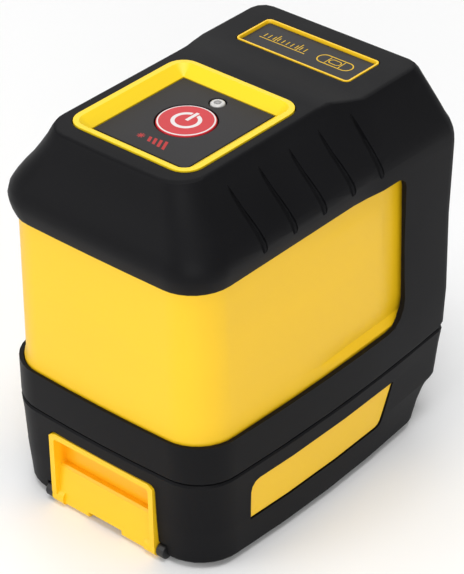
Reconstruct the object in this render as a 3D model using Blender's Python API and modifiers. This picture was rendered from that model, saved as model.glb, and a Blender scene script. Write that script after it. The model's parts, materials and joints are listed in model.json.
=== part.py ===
"""Self-levelling cross-line laser level: casing, battery base, keypad, gimbal and pendulum.

Millimetres in the constants, metres in the scene. +Z is up, the laser looks along -Y,
the battery latch is at +Y, and the origin is on the floor below the middle of the casing.
"""

import math
from collections import namedtuple

import bmesh
import bpy
from mathutils import Matrix, Vector

MM = 0.001
GAP = 0.3  # clearance between neighbouring pieces
FLOOR_GAP = 1.5  # height of the base's lower edge above the floor

# Battery cells and the bay they set the size of
CELL_RADIUS = 7.25
CELL_LENGTH = 49.3
CELL_NUB = 1.2
CELL_SPACING = 0.5  # between neighbouring cells
CELL_PITCH = 2 * CELL_RADIUS + CELL_SPACING
CELL_SIDE_ROOM = 2.15
CELL_END_ROOM = 4.9  # for both contacts and a coil
CELL_TOP_ROOM = 0.9
CONTACT_THICKNESS = 0.5
DOOR_THICKNESS = 2.0
DECK_THICKNESS = 4.5
DECK_DEPTH = 2.3  # deck below the seam
DOOR_TOP_Z = FLOOR_GAP + DOOR_THICKNESS
CELL_Z = DOOR_TOP_Z + 2 * GAP + CELL_RADIUS
BAY_TOP_Z = CELL_Z + CELL_RADIUS + CELL_TOP_ROOM
BAY_HALF = CELL_PITCH + CELL_RADIUS + CELL_SIDE_ROOM
DECK_Z = BAY_TOP_Z + DECK_THICKNESS

# Casing, outside
BAY_TO_SIDE = 8.6  # battery bay to the casing's side
HALF_WIDTH = BAY_HALF + BAY_TO_SIDE
REAR_Y = 47.8
FRONT_Y = -48.5
REAR_RADIUS = 11.0
FRONT_RADIUS = 4.0
SIDE_CROWN = 2.1
REAR_CROWN = 1.2
BAND_HEIGHT = 11.0
PANEL_HEIGHT = 41.9
TOP_RISE = 23.4  # plateau above the hood's lip
FRONT_DROP = 1.7  # front block below the plateau
STEP_LENGTH = 11.0
SEAM_Z = DECK_Z + DECK_DEPTH
RIDGE_Z = SEAM_Z + BAND_HEIGHT
LIP_Z = RIDGE_Z + PANEL_HEIGHT
TOP_Z = LIP_Z + TOP_RISE
FRONT_TOP_Z = TOP_Z - FRONT_DROP

# Yellow shell, its sides sunk a little along the window's front, lower and upper edges
SHELL_INSET = 2.0
SHELL_WALL = 2.0
SHELL_TOP_Z = TOP_Z - 4.4
WINDOW_FRONT_Y = FRONT_Y + 21.5
BORDER_DEPTH = 0.8
BORDER_WIDTH = 3.6
BORDER_SLOPE = 5.3
BORDER_FADE = 22.0  # towards the rear
FLARE = 0.5  # foot of the panel, where it meets the black band
FLARE_HEIGHT = 2.6

# Finger grooves in the hood's sides
GROOVES = 5
GROOVE_START = 23.0
GROOVE_PITCH = 10.6
GROOVE_LEAN = 3.0
GROOVE_DEPTH = 1.15
GROOVE_HALF = 1.0
GROOVE_SHARES = (0.16, 0.84)  # of the hood's rise, lower and upper end

# Keypad
BEZEL_SIZE = (38.1, 40.4)
BEZEL_Y = REAR_Y - 32.65
BEZEL_PROUD = 0.3
BEZEL_RADIUS = 5.2
BEZEL_RIM = 1.6
OVERLAY_SIZE = (28.4, 31.2)
OVERLAY_THICKNESS = 1.0
OVERLAY_DEPTH = 2.3  # overlay's face below the bezel's rim
BUTTON_Y = BEZEL_Y - 0.65
BUTTON_RADIUS = 7.25
BUTTON_TRAVEL = 0.5
BUTTON_PROUD = 0.15
BUTTON_HEIGHT = 1.5
SWITCH_RADIUS = 2.6
LED_Y = BEZEL_Y - 11.65
LED_RADIUS = 1.9
BOARD_THICKNESS = 1.2
BOARD_MARGIN = 1.3
BOARD_HALF = 20.0
STEP_START_Y = BEZEL_Y - 24.15

# Label
LABEL_SIZE = (35.2, 13.0)
LABEL_Y = FRONT_Y + 19.1
LABEL_RIM = 0.5
LABEL_SLOPE = 0.15
LABEL_RADIUS = 1.4
LABEL_PROUD = 0.1
LABEL_HEIGHT = 1.2
LABEL_THICKNESS = 0.6

# Laser window
GLASS_SIZE = (32.0, 40.0)
GLASS_THICKNESS = 1.5
GLASS_Z = LIP_Z - 12.0
GLASS_RADIUS = 3.0
GASKET_WIDTH = 1.5

# Base, door and latch
BASE_WALL = 2.4
BAY_REAR_Y = REAR_Y - 6.0
BAY_FRONT_Y = BAY_REAR_Y - CELL_LENGTH - CELL_NUB - CELL_END_ROOM
HINGE_Y = BAY_FRONT_Y - 2.0
HINGE_Z = FLOOR_GAP + 1.8
HINGE_HALF = BAY_HALF - 2.8
HINGE_RADIUS = 1.8
PIN_RADIUS = 0.8
LATCH_HALF = 17.1
LATCH_TOP_Z = SEAM_Z - 4.5
LATCH_INNER_Y = REAR_Y - 4.4
LATCH_REAR_Y = REAR_Y + 0.6
LATCH_PIVOT_Y = REAR_Y - 1.6
LATCH_PIVOT_Z = FLOOR_GAP + 0.9
LATCH_RIM = 1.5
LATCH_CORNER = 1.8
LATCH_STEP_Z = LATCH_TOP_Z - 9.8
LATCH_POCKET = 3.8
LATCH_NOTCH = (5.5, 0.9)  # half width and height
KNUCKLE_WIDTH = 3.6
LUG_THICKNESS = 2.2
LUG_RADIUS = 2.0
INLAY_DEPTH = 1.6
INLAY_SUNK = 0.35
INSERT_Y = BAY_FRONT_Y - 13.4
INSERT_RADIUS = 5.5
INSERT_BORE = 3.175
INSERT_LENGTH = 10.5
FOOT_RADIUS = 2.4
FOOT_DEPTH = 1.5
SCREW_RADIUS = 1.3
SCREW_HEAD_RADIUS = 2.2
SCREW_HEAD_HEIGHT = 1.8
BOSS_RADIUS = 2.9

# Gimbal and pendulum
CHASSIS_Z = RIDGE_Z - 1.3
CHASSIS_THICKNESS = 3.0
LEG_X = 19.0
SEAT_DEPTH = 0.7  # bearing's face inside the tower's face
TOWER_INNER_X = 21.2
TOWER_THICKNESS = 4.0
PIVOT_Z = TOP_Z - 16.6
RING_SIZE = (36.0, 24.0, 9.0)
RING_WALL = 4.0
AXLE_RADIUS = 1.2
BEARING_RADIUS = 3.0
BEARING_BORE = 1.5
BEARING_WIDTH = 2.5
MAGNET_HEIGHT = 2.1
MAGNET_RADIUS = 3.2
DAMPER_RADIUS = 11.0
DAMPER_THICKNESS = 1.7
DAMPER_GAP = 1.8  # magnets to damper plate
WEIGHT_RADIUS = 9.0
WEIGHT_HEIGHT = 3.9
BLOCK_SIZE = (23.0, 18.0, 23.5)
MODULE_RADIUS = 5.0
MODULE_LENGTH = 22.0
LENS_RADIUS = 1.3
LENS_REACH = 3.2

# Transport lock
SLIDER_Y = -5.5
SLIDER_SIZE = (12.8, 6.4)
SLIDER_TRAVEL = 6.0
SLIDER_MARGIN = 0.6
SLIDER_Z = (SEAM_Z + RIDGE_Z) / 2
SLIDER_PROUD = 1.2
ARM_WIDTH = 5.0
ARM_Z = (SEAM_Z + 4.0, SEAM_Z + 6.7)
LIFT_TRAVEL = 1.3
RAMP_SLOPE = LIFT_TRAVEL / SLIDER_TRAVEL
RAMP_Z = SEAM_Z + 5.35  # ramp height on the plunger's axis
PAD_RADIUS = 3.5
PAD_THICKNESS = 1.2
PLUNGER_RADIUS = 2.0

CORNER_STEPS = 8
FRONT_STEPS = 3
SMOOTH_DEG = 35

Plan = namedtuple("Plan", "z half rear front rear_radius front_radius side_crown rear_crown")


# ---------------------------------------------------------------- scene and objects


def clear_scene():
    """Remove whatever the scene holds."""
    for item in list(bpy.data.objects):
        bpy.data.objects.remove(item, do_unlink=True)


def new_collection(name):
    """Add an empty collection to the scene."""
    collection = bpy.data.collections.new(name)
    bpy.context.scene.collection.children.link(collection)
    return collection


clear_scene()
PARTS = new_collection("cross_line_laser_level")
CUTTERS = new_collection("cutters")


def material(name, colour, roughness, metallic=0.0):
    """Make one Principled material."""
    result = bpy.data.materials.new(name)
    result.use_nodes = True
    shader = result.node_tree.nodes["Principled BSDF"]
    shader.inputs["Base Color"].default_value = (*colour, 1.0)
    shader.inputs["Roughness"].default_value = roughness
    shader.inputs["Metallic"].default_value = metallic
    return result


SOFT_BLACK = ((0.028, 0.028, 0.030), 0.62)
HARD_BLACK = ((0.020, 0.020, 0.022), 0.45)
YELLOW = ((0.93, 0.60, 0.03), 0.38)
RED = ((0.75, 0.03, 0.04), 0.35)
MEMBRANE = ((0.045, 0.043, 0.046), 0.40)
GREY = ((0.55, 0.55, 0.55), 0.35)
GLASS = ((0.10, 0.12, 0.13), 0.05)
STEEL = ((0.60, 0.60, 0.61), 0.28, 1.0)
BRASS = ((0.78, 0.57, 0.23), 0.30, 1.0)
COPPER = ((0.80, 0.42, 0.26), 0.30, 1.0)
NICKEL = ((0.70, 0.68, 0.64), 0.30, 1.0)
ALUMINIUM = ((0.72, 0.73, 0.74), 0.38, 1.0)
BOARD_GREEN = ((0.02, 0.20, 0.08), 0.45)
CELL_WRAP = ((0.10, 0.22, 0.36), 0.35)


def add_object(name, mesh, finish=None):
    """Put a mesh in the scene: a part when it has a finish, or else a hidden cutter."""
    item = bpy.data.objects.new(name, mesh)
    if finish:
        PARTS.objects.link(item)
        mesh.materials.append(material(name + "_finish", *finish))
    else:
        CUTTERS.objects.link(item)
        item.hide_render = True
        item.display_type = "WIRE"
    return item


def from_bmesh(name, shape, finish=None, smooth=False):
    """Turn a bmesh in millimetres into an object in metres."""
    bmesh.ops.scale(shape, vec=Vector((MM, MM, MM)), verts=shape.verts)
    mesh = bpy.data.meshes.new(name)
    shape.to_mesh(mesh)
    shape.free()
    if smooth:
        mesh.shade_smooth()
        mesh.set_sharp_from_angle(angle=math.radians(SMOOTH_DEG))
    return add_object(name, mesh, finish)


def set_origin(item, x, y, z):
    """Move the object's origin to a point, leaving its shape where it is."""
    point = Vector((x, y, z)) * MM
    item.data.transform(Matrix.Translation(-point))
    item.location = point
    return item


def cut(item, *cutters):
    """Take each cutter's shape away from the item."""
    for cutter in cutters:
        change = item.modifiers.new("cut_" + cutter.name, "BOOLEAN")
        change.operation = "DIFFERENCE"
        change.object = cutter
    return item


def join(item, *others):
    """Add each other shape to the item."""
    for other in others:
        change = item.modifiers.new("join_" + other.name, "BOOLEAN")
        change.operation = "UNION"
        change.object = other
    return item


def keep_common(item, other):
    """Keep only what the item shares with the other shape."""
    change = item.modifiers.new("common_" + other.name, "BOOLEAN")
    change.operation = "INTERSECT"
    change.object = other
    return item


def mirrored(item):
    """Mirror an object across the middle plane."""
    change = item.modifiers.new("mirror", "MIRROR")
    change.merge_threshold = 0.00002
    return item


# ---------------------------------------------------------------- basic shapes


def box(name, low, high, finish=None, radius=0.0, along=2, steps=3):
    """A box between two corners, its edges along one axis rounded when a radius is given."""
    shape = bmesh.new()
    bmesh.ops.create_cube(shape, size=1.0)
    size = Vector(high) - Vector(low)
    middle = (Vector(high) + Vector(low)) / 2
    bmesh.ops.scale(shape, vec=size, verts=shape.verts)
    bmesh.ops.translate(shape, vec=middle, verts=shape.verts)
    if radius:
        edges = [e for e in shape.edges if runs_along(e, along)]
        bmesh.ops.bevel(shape, geom=edges, offset=radius, segments=steps, profile=0.5, affect="EDGES")
    return from_bmesh(name, shape, finish, smooth=bool(radius))


def runs_along(edge, axis):
    """Whether an edge lies along one axis."""
    span = edge.verts[0].co - edge.verts[1].co
    return all(abs(span[i]) < 1e-6 for i in range(3) if i != axis)


def centred_box(name, size, y, low_z, high_z, finish=None, radius=0.0):
    """A box centred on the middle plane."""
    low = (-size[0] / 2, y - size[1] / 2, low_z)
    high = (size[0] / 2, y + size[1] / 2, high_z)
    return box(name, low, high, finish, radius)


def rod(name, start, end, radius, finish=None, sides=16):
    """A cylinder between two points."""
    start, end = Vector(start), Vector(end)
    span = end - start
    shape = bmesh.new()
    bmesh.ops.create_cone(
        shape, cap_ends=True, segments=sides, radius1=radius, radius2=radius, depth=span.length
    )
    turn = Vector((0, 0, 1)).rotation_difference(span).to_matrix()
    bmesh.ops.rotate(shape, matrix=turn, verts=shape.verts)
    bmesh.ops.translate(shape, vec=(start + end) / 2, verts=shape.verts)
    return from_bmesh(name, shape, finish, smooth=True)


def tube_loft(name, rings, finish=None):
    """A solid through closed rings with the same number of points."""
    shape = bmesh.new()
    rows = [[shape.verts.new(point) for point in ring] for ring in rings]
    for low, high in zip(rows, rows[1:]):
        for i, corner in enumerate(low):
            shape.faces.new((low[i - 1], corner, high[i], high[i - 1]))
    shape.faces.new(rows[0][::-1])
    shape.faces.new(rows[-1])
    bmesh.ops.recalc_face_normals(shape, faces=shape.faces)
    return from_bmesh(name, shape, finish, smooth=finish is not None)


def round_ring(size, y, z, radius, steps=6):
    """Points round a rectangle with round corners, centred on the middle plane."""
    x, half = size[0] / 2 - radius, size[1] / 2 - radius
    points = []
    for turn, (side_x, side_y) in enumerate(((1, 1), (-1, 1), (-1, -1), (1, -1))):
        points += arc((side_x * x, y + side_y * half), radius, 90 * turn, 90 * turn + 90, steps)
    return [Vector((*point, z)) for point in points]


def prism(name, outline_yz, low_x, high_x, finish=None):
    """A side outline in Y and Z, extruded along X."""
    shape = bmesh.new()
    face = shape.faces.new([shape.verts.new((low_x, y, z)) for y, z in outline_yz])
    grown = bmesh.ops.extrude_face_region(shape, geom=[face])
    moved = [v for v in grown["geom"] if isinstance(v, bmesh.types.BMVert)]
    bmesh.ops.translate(shape, vec=Vector((high_x - low_x, 0, 0)), verts=moved)
    bmesh.ops.recalc_face_normals(shape, faces=shape.faces)
    return from_bmesh(name, shape, finish)


def arc(centre, radius, start_deg, end_deg, steps):
    """Points round an arc, both ends included."""
    angles = [math.radians(start_deg + (end_deg - start_deg) * i / steps) for i in range(steps + 1)]
    return [(centre[0] + radius * math.cos(a), centre[1] + radius * math.sin(a)) for a in angles]


def turned(name, profile, place, finish=None, steps=16, turn=None):
    """A profile of radius and height, listed down the outer side, turned round Z."""
    mesh = bpy.data.meshes.new(name)
    points = [(radius * MM, 0.0, height * MM) for radius, height in profile]
    edges = [(i, i + 1) for i in range(len(points) - 1)]
    mesh.from_pydata(points, edges, [])
    item = add_object(name, mesh, finish)
    screw = item.modifiers.new("turn", "SCREW")
    screw.steps = steps
    screw.render_steps = steps
    screw.use_merge_vertices = True
    screw.merge_threshold = 0.00001
    screw.use_smooth_shade = True
    item.location = Vector(place) * MM
    if turn:
        item.rotation_euler = turn
    return item


def tube_mesh(name, points, radius):
    """A capped tube along points, made from a bevelled curve and turned into a mesh."""
    curve = bpy.data.curves.new(name, "CURVE")
    curve.dimensions = "3D"
    curve.bevel_depth = radius * MM
    curve.bevel_resolution = 1
    curve.use_fill_caps = True
    line = curve.splines.new("POLY")
    line.points.add(len(points) - 1)
    for spot, point in zip(line.points, points):
        spot.co = (*(Vector(point) * MM), 1.0)
    holder = bpy.data.objects.new(name + "_path", curve)
    bpy.context.scene.collection.objects.link(holder)
    bpy.context.view_layer.update()
    evaluated = holder.evaluated_get(bpy.context.evaluated_depsgraph_get())
    mesh = bpy.data.meshes.new_from_object(evaluated)
    bpy.data.objects.remove(holder)
    shape = bmesh.new()
    shape.from_mesh(mesh)
    bmesh.ops.remove_doubles(shape, verts=shape.verts, dist=0.000001)
    bmesh.ops.recalc_face_normals(shape, faces=shape.faces)
    shape.to_mesh(mesh)
    shape.free()
    return add_object(name, mesh)


# ---------------------------------------------------------------- lofted casing shapes


def outline(plan, stations):
    """The +X half of a plan outline, from the rear middle round to the front middle."""
    rear_arc_y = plan.rear - plan.rear_radius
    front_arc_y = plan.front + plan.front_radius
    middle = (plan.rear + plan.front) / 2
    reach = (plan.rear - plan.front) / 2
    arc_x = plan.half - plan.rear_radius

    def side(y):
        return plan.half + plan.side_crown * (1 - ((y - middle) / reach) ** 2)

    def back(x):
        return plan.rear + plan.rear_crown * (1 - (x / plan.half) ** 2)

    points = [(0.0, back(0.0)), (arc_x / 2, back(arc_x / 2))]
    for step in range(CORNER_STEPS + 1):
        angle = math.pi / 2 * step / CORNER_STEPS
        x = arc_x + (side(rear_arc_y) - arc_x) * math.sin(angle)
        points.append((x, rear_arc_y + (back(arc_x) - rear_arc_y) * math.cos(angle)))
    for share in stations:
        y = rear_arc_y + (front_arc_y - rear_arc_y) * share
        points.append((side(y), y))
    arc_x = plan.half - plan.front_radius
    for step in range(FRONT_STEPS + 1):
        angle = math.pi / 2 * step / FRONT_STEPS
        x = arc_x + (side(front_arc_y) - arc_x) * math.cos(angle)
        points.append((x, front_arc_y - plan.front_radius * math.sin(angle)))
    points.append((0.0, plan.front))
    return points


def flat_ring(plan, stations):
    """A plan outline at its own height."""
    return [Vector((x, y, plan.z)) for x, y in outline(plan, stations)]


def cap_half(shape, ring, first, last, facing_up):
    """Close one end of a half loft with strips across to the middle plane."""
    middle = [shape.verts.new((0.0, ring[i].co.y, ring[i].co.z)) for i in range(first, last + 1)]
    faces = [ring[: first + 1] + [middle[0]], ring[last:] + [middle[-1]]]
    for i in range(first, last):
        faces.append([ring[i], ring[i + 1], middle[i + 1 - first], middle[i - first]])
    for corners in faces:
        shape.faces.new(corners if not facing_up else corners[::-1])


def half_loft(name, rings, station_count, finish=None):
    """Loft half outlines from the bottom up, close both ends and mirror the result."""
    shape = bmesh.new()
    rows = [[shape.verts.new(point) for point in ring] for ring in rings]
    for low, high in zip(rows, rows[1:]):
        for i in range(len(low) - 1):
            shape.faces.new((low[i + 1], low[i], high[i], high[i + 1]))
    first = CORNER_STEPS + 2
    last = first + station_count + 1
    cap_half(shape, rows[0], first, last, facing_up=False)
    cap_half(shape, rows[-1], first, last, facing_up=True)
    return mirrored(from_bmesh(name, shape, finish, smooth=True))


def grown(plan, amount):
    """The same plan, larger all round by an amount, or smaller where it is negative."""
    return plan._replace(
        half=plan.half + amount,
        rear=plan.rear + amount,
        front=plan.front - amount,
        rear_radius=max(plan.rear_radius + amount, 1.0),
        front_radius=max(plan.front_radius + amount, 0.6),
    )


PLAIN_STATIONS = (0.25, 0.5, 0.75)
BORDER_END_Y = WINDOW_FRONT_Y + BORDER_WIDTH
FADE_START_Y = BORDER_END_Y + BORDER_SLOPE + BORDER_FADE / 2
HIDDEN_Y = WINDOW_FRONT_Y - 2.5
SHELL_STATIONS_Y = (
    FADE_START_Y + BORDER_FADE,
    FADE_START_Y + BORDER_FADE / 2,
    FADE_START_Y,
    BORDER_END_Y + BORDER_SLOPE,
    BORDER_END_Y + BORDER_SLOPE / 2,
    BORDER_END_Y,
    HIDDEN_Y + 1.0,
    HIDDEN_Y,
)
HOOD_STATIONS = (0.2, 0.42, 0.55, 0.61, 0.67, 0.74, 0.87)

# Hood profile: share of the rise, then the inset of the side, rear and front walls
REAR_PROFILE = (
    (0.0, 1.2, 1.2, 0.0),
    (0.06, 0.7, 0.7, 0.0),
    (0.14, 0.3, 0.3, 0.2),
    (0.21, 0.1, 0.1, 0.5),
    (0.3, 0.6, 0.45, 1.1),
    (0.39, 1.8, 1.4, 1.9),
    (0.5, 3.6, 2.7, 2.7),
    (0.6, 5.5, 4.0, 3.4),
    (0.71, 7.2, 5.2, 4.2),
    (0.83, 8.9, 6.4, 5.1),
    (0.932, 10.1, 7.2, 5.8),
    (0.981, 10.8, 7.8, 6.4),
    (1.0, 11.6, 8.6, 7.2),
)
FRONT_PROFILE_SIDE = (0.0, 0.0, 0.0, 0.1, 0.6, 1.5, 2.5, 3.5, 4.6, 5.8, 6.9, 7.6, 8.6)


def hood_plans():
    """Pairs of plans up the hood: the rear part's and the front block's."""
    pairs = []
    for (share, side, rear, front), front_side in zip(REAR_PROFILE, FRONT_PROFILE_SIDE):
        radius = REAR_RADIUS - 0.3 * side
        plan = Plan(
            LIP_Z + TOP_RISE * share,
            HALF_WIDTH - side,
            REAR_Y - rear,
            FRONT_Y + front,
            radius,
            FRONT_RADIUS,
            0.0,
            REAR_CROWN * 0.4,
        )
        block_z = LIP_Z + (TOP_RISE - FRONT_DROP) * share
        pairs.append((plan, plan._replace(z=block_z, half=HALF_WIDTH - front_side)))
    return pairs


def step_share(y):
    """0 on the plateau, 1 on the front block, with a smooth step between."""
    share = min(max((STEP_START_Y - y) / STEP_LENGTH, 0.0), 1.0)
    return share * share * (3 - 2 * share)


def hood_ring(pair, stations):
    """Blend the rear part's outline into the front block's along Y."""
    ring = []
    for (rear_x, y), (front_x, _) in zip(outline(pair[0], stations), outline(pair[1], stations)):
        share = step_share(y)
        x = rear_x + (front_x - rear_x) * share
        ring.append(Vector((x, y, pair[0].z + (pair[1].z - pair[0].z) * share)))
    return ring


def hood_half(y, z):
    """Half width of the hood's side wall at a height."""
    share = step_share(y)
    spots = []
    for rear, front in hood_plans():
        height = rear.z + (front.z - rear.z) * share
        spots.append((height, rear.half + (front.half - rear.half) * share))
    for (low_z, low_x), (high_z, high_x) in zip(spots, spots[1:]):
        if low_z <= z <= high_z:
            return low_x + (high_x - low_x) * (z - low_z) / (high_z - low_z)
    return spots[-1][1]


def band_plan(z, inset=0.0):
    """The black lower band's outline, crowned along its sides."""
    return Plan(
        z,
        HALF_WIDTH - 0.5 - inset,
        REAR_Y - 0.6 - inset,
        FRONT_Y + 1.5 + inset,
        REAR_RADIUS,
        FRONT_RADIUS,
        SIDE_CROWN,
        REAR_CROWN,
    )


def jacket_rings():
    """Outer outlines of the rubber jacket, from the seam up to the hood's top."""
    band = [
        band_plan(SEAM_Z + GAP / 2, 0.3),
        band_plan(SEAM_Z + 1.0),
        band_plan(RIDGE_Z)._replace(front=FRONT_Y + 0.6),
        band_plan(LIP_Z - 20.0)._replace(front=FRONT_Y + 0.5, side_crown=SIDE_CROWN * 0.3),
    ]
    rings = [flat_ring(plan, HOOD_STATIONS) for plan in band]
    return rings + [hood_ring(pair, HOOD_STATIONS) for pair in hood_plans()]


# Yellow shell: height above the lip, then inset of the side, rear and front walls
SHELL_PROFILE = (
    (4.5, 0.0, 0.0, 0.1),
    (7.0, 0.8, 0.5, 0.8),
    (9.0, 1.9, 1.4, 1.4),
    (11.0, 3.3, 2.4, 2.0),
    (13.0, 5.2, 3.6, 2.5),
    (15.0, 6.8, 4.8, 3.1),
    (16.5, 7.8, 5.4, 3.5),
)


def shell_plans(amount, rise=0.0):
    """The yellow shell's outlines from the seam up, grown by an amount."""
    wall = Plan(
        SEAM_Z + GAP / 2 + rise,
        HALF_WIDTH - SHELL_INSET,
        REAR_Y - SHELL_INSET,
        FRONT_Y + SHELL_INSET + 0.8,
        REAR_RADIUS - 1.0,
        FRONT_RADIUS - 0.8,
        SIDE_CROWN * 0.7,
        REAR_CROWN * 0.8,
    )
    plans = [wall, wall._replace(z=RIDGE_Z - 1.9)]
    plans += [grown(wall._replace(z=RIDGE_Z + height), FLARE) for height in (-0.5, 0.6)]
    for height in (0.0, 0.06, 0.12, 0.24, 0.5, 0.78, 0.86, 0.93, 1.0):
        z = RIDGE_Z + FLARE_HEIGHT + (PANEL_HEIGHT - FLARE_HEIGHT) * height
        crown = 0.7 - 0.55 * height
        plans.append(wall._replace(z=z, side_crown=SIDE_CROWN * crown, rear_crown=REAR_CROWN * (crown + 0.1)))
    plain = plans[-1]._replace(side_crown=0.0)
    for height, side, rear, front in SHELL_PROFILE:
        plans.append(
            plain._replace(
                z=LIP_Z + height,
                half=plain.half - side,
                rear=plain.rear - rear,
                front=plain.front + front,
                rear_radius=plain.rear_radius - 0.4 * side,
            )
        )
    top = plans[-1]
    plans.append(top._replace(z=SHELL_TOP_Z + amount, half=top.half - 0.9, rear=top.rear - 0.8))
    return [grown(plan, amount) for plan in plans]


def ramp(value, start, length):
    """0 up to the start, 1 past the length, straight between."""
    return min(max((value - start) / length, 0.0), 1.0)


def border_share(y, z):
    """How far the side's border is sunk at a point: 1 along the window's edges, 0 elsewhere."""
    if not RIDGE_Z + 1.0 < z <= LIP_Z:
        return 0.0
    front = 1 - ramp(y, BORDER_END_Y, BORDER_SLOPE)
    low = 1 - ramp(z, RIDGE_Z + FLARE_HEIGHT + 1.0, BORDER_SLOPE)
    high = 1 - ramp(LIP_Z - z, 1.5, BORDER_SLOPE)
    fade = 1 - ramp(y, FADE_START_Y, BORDER_FADE)
    return max(front, fade * max(low, high)) * ramp(y, HIDDEN_Y, 1.0)


def shell_loft(name, amount, rise=0.0, finish=None, border=0.0):
    """A solid of the yellow shell's outer shape, grown by an amount, its borders sunk by a depth."""
    rings = []
    for plan in shell_plans(amount, rise):
        rear_arc_y = plan.rear - plan.rear_radius
        straight = plan.front + plan.front_radius - rear_arc_y
        ring = flat_ring(plan, [(y - rear_arc_y) / straight for y in SHELL_STATIONS_Y])
        inner = plan.half - 3.0
        rings.append([Vector((p.x - border * border_share(p.y, p.z) * (p.x > inner), p.y, p.z)) for p in ring])
    return half_loft(name, rings, len(SHELL_STATIONS_Y), finish)


# Base: height, inset of the side and rear walls, then Y of the front face
BASE_PROFILE = (
    (FLOOR_GAP, 1.6, FRONT_Y + 14.0),
    (FLOOR_GAP + 0.7, 1.2, FRONT_Y + 12.3),
    (7.2, 0.9, FRONT_Y + 10.4),
    (10.2, 0.7, FRONT_Y + 8.5),
    (11.9, 0.6, FRONT_Y + 6.5),
    (12.5, 0.6, FRONT_Y + 4.0),
    (21.2, 0.3, FRONT_Y + 2.7),
    (SEAM_Z - 0.7, 0.0, FRONT_Y + 1.9),
    (SEAM_Z - GAP / 2, 0.3, FRONT_Y + 2.1),
)


def base_loft(name, amount=0.0, finish=None):
    """A solid of the base's outer shape, grown by an amount."""
    rings = []
    for z, inset, front in BASE_PROFILE:
        plan = grown(band_plan(z, inset)._replace(front=front), amount)
        rings.append(flat_ring(plan, PLAIN_STATIONS))
    return half_loft(name, rings, len(PLAIN_STATIONS), finish)


# ---------------------------------------------------------------- casing


def window_outline(low_z, high_z, rear_y):
    """The side window's outline: small top corner and large bottom corner at the front."""
    front = WINDOW_FRONT_Y
    points = [(rear_y, low_z), (rear_y, high_z)]
    points += arc((front + 3.0, high_z - 3.0), 3.0, 90, 180, 3)
    points += arc((front + 7.0, low_z + 7.0), 7.0, 180, 270, 4)
    return points


# Groove along its length: share, then shares of the half width and of the depth
GROOVE_SECTIONS = (
    (0.0, 0.45, 0.3),
    (0.04, 0.85, 0.85),
    (0.12, 1.0, 1.0),
    (0.35, 0.9, 1.0),
    (0.6, 0.7, 0.95),
    (0.85, 0.5, 0.7),
    (1.0, 0.25, 0.1),
)


def groove_ring(low_y, share, half, depth):
    """A U across the hood's side wall, open outwards, at a share of the groove's length."""
    y = low_y + GROOVE_LEAN * share
    z = LIP_Z + TOP_RISE * (GROOVE_SHARES[0] + (GROOVE_SHARES[1] - GROOVE_SHARES[0]) * share)
    slope = (hood_half(y, z + 1) - hood_half(y, z - 1)) / 2
    outward = Vector((1, 0, -slope)).normalized()
    along = Vector((slope, GROOVE_LEAN / TOP_RISE, 1)).normalized()
    across = outward.cross(along)
    middle = Vector((hood_half(y, z), y, z))
    section = ((-1, 1.5), (-1, -0.4 * depth), (-0.6, -0.85 * depth), (0, -depth))
    section += tuple((-u, v) for u, v in section[-2::-1])
    return [middle + across * (u * half) + outward * v for u, v in section]


def groove_cutters():
    """Finger grooves that follow the hood's slanted side walls, wider towards the lower end."""
    cutters = []
    for index in range(GROOVES):
        low_y = REAR_Y - GROOVE_START - GROOVE_PITCH * index
        rings = [
            groove_ring(low_y, share, GROOVE_HALF * half, GROOVE_DEPTH * depth)
            for share, half, depth in GROOVE_SECTIONS
        ]
        cutters.append(mirrored(tube_loft(f"groove_{index + 1}_cutter", rings)))
    return cutters


def grip_jacket():
    """Rubber jacket: hood with finger grooves, front column and lower band, over the shell."""
    item = half_loft("grip_jacket", jacket_rings(), len(HOOD_STATIONS), SOFT_BLACK)
    reach = HALF_WIDTH + 20
    opening = [size + 2 * GAP for size in BEZEL_SIZE]
    opening_rings = [round_ring(opening, BEZEL_Y, z, BEZEL_RADIUS) for z in (SHELL_TOP_Z - 2, TOP_Z + 5)]
    pocket = [size + 2 * GAP for size in LABEL_SIZE]
    pocket_floor = FRONT_TOP_Z + LABEL_PROUD - LABEL_HEIGHT - GAP
    pocket_rings = [round_ring(pocket, LABEL_Y, z, LABEL_RADIUS + GAP) for z in (pocket_floor, TOP_Z + 5)]
    glass = [size + 2 * GASKET_WIDTH + 4 * GAP for size in GLASS_SIZE]
    slider = [size / 2 + SLIDER_MARGIN for size in SLIDER_SIZE]
    cut(
        item,
        shell_loft("jacket_inside_cutter", GAP, rise=-5.0),
        prism("side_window_cutter", window_outline(RIDGE_Z, LIP_Z, REAR_Y + 20), -reach, reach),
        tube_loft("bezel_opening_cutter", opening_rings),
        tube_loft("label_pocket_cutter", pocket_rings),
        box(
            "glass_opening_cutter",
            (-glass[0] / 2, FRONT_Y - 5, GLASS_Z - glass[1] / 2),
            (glass[0] / 2, FRONT_Y + 8, GLASS_Z + glass[1] / 2),
            radius=4.0,
            along=1,
        ),
        box(
            "slider_opening_cutter",
            (HALF_WIDTH - 2, SLIDER_Y - slider[0], SLIDER_Z - slider[1]),
            (reach, SLIDER_Y + slider[0] + SLIDER_TRAVEL, SLIDER_Z + slider[1]),
        ),
    )
    cut(item, *groove_cutters())
    return item


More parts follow.
